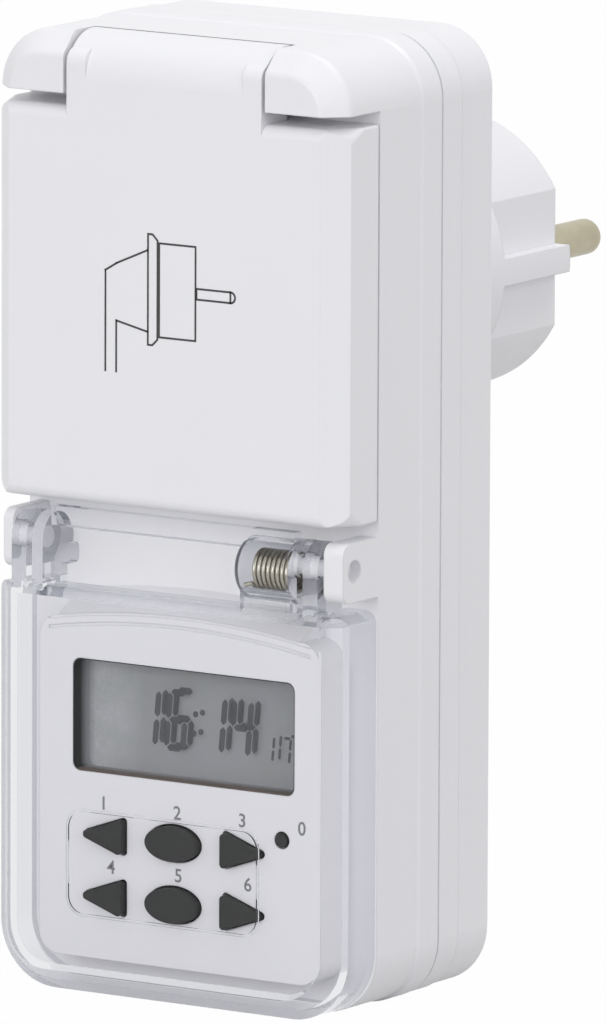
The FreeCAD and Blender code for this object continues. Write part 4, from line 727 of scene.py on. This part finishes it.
def clock_face(name, finish, y):
    """All digits of the display at one depth, leaning to the right."""
    bars = []
    for number, x, scale in DIGIT_PLACES + SECOND_PLACES:
        bars += digit_bars(number, x, scale, y)
    for z in COLON_ROWS:
        deselect()
        bpy.ops.mesh.primitive_circle_add(
            vertices=COLON_SIDES,
            radius=COLON_RADIUS * MM,
            fill_type="NGON",
            location=(COLON_X * MM, y * MM, z * MM),
            rotation=(RIGHT_ANGLE, 0, 0),
        )
        bars.append(bpy.context.object)
    face = settle(joined(bars), name, finish)
    for vertex in face.data.vertices:
        vertex.co.x += (vertex.co.z - DIGIT_LOW * MM) * DIGIT_LEAN
    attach(face, "casing")


def clock_digits():
    """Digits in the crystal, and their shadows on the film behind it."""
    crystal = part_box("lcd_glass")[0].y / MM + CRYSTAL_BEHIND_GLASS
    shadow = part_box("lcd_reflector")[0].y / MM - SHADOW_BEFORE_FILM
    crystal_dark = crystal_ink("crystal_dark", CRYSTAL_DARK, CRYSTAL_COVER)
    crystal_shadow = crystal_ink("crystal_shadow", SHADOW_DARK, SHADOW_COVER)
    clock_face("clock_digits", crystal_dark, crystal)
    clock_face("clock_digit_shadows", crystal_shadow, shadow)


def window_lining():
    """Lining round the wall of the display's window, a dark sheet that paints the shade in the
    window's recess.
    """
    low, high = (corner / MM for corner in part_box("lcd_reflector"))
    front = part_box("key_2")[0].y / MM + KEY_PROUD + LINING_GAP
    back = low.y - LINING_GAP
    across = (low.x + LINING_EDGE, high.x - LINING_EDGE)
    upright = (low.z + LINING_EDGE, high.z - LINING_EDGE)
    sheet = flat_sheet(*across, *upright, back)
    bpy.ops.mesh.select_mode(type="VERT")
    bpy.ops.mesh.bevel(offset=WINDOW_ROUND * MM, segments=WINDOW_ROUNDS, affect="VERTICES")
    keep_rim(LINING_SHEET)
    draw_out(Vector((0, front - back, 0)))
    # The lining's dark front and its fade to grey are painted shade of the recess.
    fade = (front + LINING_DARK_SHARE * (back - front), back)
    ink = lining_painted_shade("lining_dark", low.z + LINING_SHOWN_BELOW, *fade)
    lining = settle(sheet, "window_lining", ink)
    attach(lining, "casing")


def wire_end(start, reach):
    """Straight piece of round wire drawn out from a circle."""
    deselect()
    bpy.ops.mesh.primitive_circle_add(
        vertices=WIRE_SIDES,
        radius=COIL_WIRE / 2 * MM,
        fill_type="NGON",
        location=start * MM,
        rotation=reach.to_track_quat("Z", "Y").to_euler(),
    )
    bpy.ops.object.mode_set(mode="EDIT")
    draw_out(reach)
    return bpy.context.object


def cover_spring_coil():
    """Close-wound spring in the clear barrel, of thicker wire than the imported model's."""
    low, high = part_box("cover_spring")
    middle = (low + high) / 2 / MM
    deselect()
    bpy.ops.mesh.primitive_circle_add(
        vertices=WIRE_SIDES, radius=COIL_WIRE / 2 * MM, rotation=(RIGHT_ANGLE, 0, 0)
    )
    coil = bpy.context.object
    bpy.ops.object.transform_apply(location=True, rotation=True, scale=True)
    bpy.ops.object.mode_set(mode="EDIT")
    bpy.ops.mesh.select_all(action="SELECT")
    bpy.ops.transform.translate(value=(0, 0, -COIL_RADIUS * MM))
    bpy.ops.object.mode_set(mode="OBJECT")
    winding = coil.modifiers.new("winding", "SCREW")
    winding.axis = "X"
    winding.angle = 2 * math.pi
    winding.screw_offset = COIL_PITCH * MM
    winding.iterations = COIL_TURNS
    winding.steps = COIL_STEPS
    winding.render_steps = COIL_STEPS
    bpy.ops.object.modifier_apply(modifier="winding")
    bpy.ops.object.mode_set(mode="EDIT")
    bpy.ops.mesh.select_all(action="SELECT")
    bpy.ops.mesh.fill_holes(sides=0)
    leave_edit()
    coil.location = (COIL_START * MM, middle.y * MM, middle.z * MM)
    coil.rotation_euler = (-COIL_FOOT_TURN, 0, 0)
    ahead = COIL_RADIUS * math.sin(COIL_FOOT_TURN)
    below = COIL_RADIUS * math.cos(COIL_FOOT_TURN)
    foot = wire_end(Vector((COIL_START, middle.y - ahead, middle.z - below)), Vector(COIL_FOOT))
    spring = settle(joined([coil, foot]), "cover_spring_coil", finish_of("cover_spring"))
    bpy.ops.object.shade_smooth_by_angle(angle=SMOOTH_UNDER)
    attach(spring, "cover")
    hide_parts("cover_spring")


def camera_as_photographed():
    """Camera at the photograph's place, with its lens."""
    across = Vector((math.cos(CAMERA_YAW), math.sin(CAMERA_YAW), 0))
    level = Vector((-math.sin(CAMERA_YAW), math.cos(CAMERA_YAW), 0))
    ahead = level * math.cos(CAMERA_PITCH) - Vector((0, 0, math.sin(CAMERA_PITCH)))
    above = level * math.sin(CAMERA_PITCH) + Vector((0, 0, math.cos(CAMERA_PITCH)))
    place = -CAMERA_SIDE * across - CAMERA_RISE * above - CAMERA_DISTANCE * ahead
    turned_across = across * math.cos(CAMERA_ROLL) - above * math.sin(CAMERA_ROLL)
    turned_above = across * math.sin(CAMERA_ROLL) + above * math.cos(CAMERA_ROLL)
    axes = Matrix((turned_across, turned_above, -ahead)).transposed()
    data = bpy.data.cameras.new("camera")
    data.sensor_fit = "VERTICAL"
    data.sensor_height = SENSOR
    data.lens = FOCAL_PIXELS / PHOTO_HEIGHT * SENSOR
    data.clip_end = CAMERA_SEES
    camera = bpy.data.objects.new("camera", data)
    bpy.context.collection.objects.link(camera)
    camera.matrix_world = Matrix.Translation(place) @ axes.to_4x4()
    bpy.context.scene.camera = camera


def soft_lamp(name, place, size, power):
    """Large square lamp that faces the object."""
    data = bpy.data.lights.new(name, "AREA")
    data.size = size
    data.energy = power
    lamp = bpy.data.objects.new(name, data)
    bpy.context.collection.objects.link(lamp)
    lamp.location = place
    lamp.rotation_euler = (LAMP_AIM - Vector(place)).to_track_quat("-Z", "Y").to_euler()


def studio():
    """Pale floor, white surroundings and soft lamps."""
    deselect()
    bpy.ops.mesh.primitive_plane_add(size=FLOOR_SIZE, location=(0, 0, cad_box[0][2]))
    floor = bpy.context.object
    finish = Finish("studio_floor")
    finish.paint(Base_Color=FLOOR_GREY, Roughness=0.7)
    glow = finish.node("ShaderNodeEmission", None, {"Color": PURE_WHITE, "Strength": 1.0})
    matt, glowing = Signal(finish, finish.shader.outputs[0]), Signal(finish, glow.outputs[0])
    finish.cover(finish.either(finish.in_view() * FLOOR_GLOW, matt, glowing))
    floor.name = "floor"
    floor.data.materials.append(finish.material)

    world = bpy.data.worlds.new("studio")
    bpy.context.scene.world = world
    world.use_nodes = True
    world.node_tree.nodes.clear()
    sky = Wiring(world.node_tree)
    pale = {"Color": SKY_WHITE, "Strength": SKY_LIGHT}
    lit = sky.node("ShaderNodeBackground", None, pale)
    shown = sky.node("ShaderNodeBackground", None, {"Color": PURE_WHITE, "Strength": 1.0})
    both = sky.either(sky.in_view(), Signal(sky, lit.outputs[0]), Signal(sky, shown.outputs[0]))
    sky.node("ShaderNodeOutputWorld", None, {"Surface": both})
    bpy.context.scene.view_settings.view_transform = "Standard"

    for name, (place, size, power) in LAMPS.items():
        soft_lamp(name, place, size, power)


camera_as_photographed()
dress_nodes()
lid_symbol(printing_ink("symbol_ink", SYMBOL_INK))
key_numbers(printing_ink("number_ink", NUMBER_INK))
clock_digits()
window_lining()
cover_spring_coil()
studio()
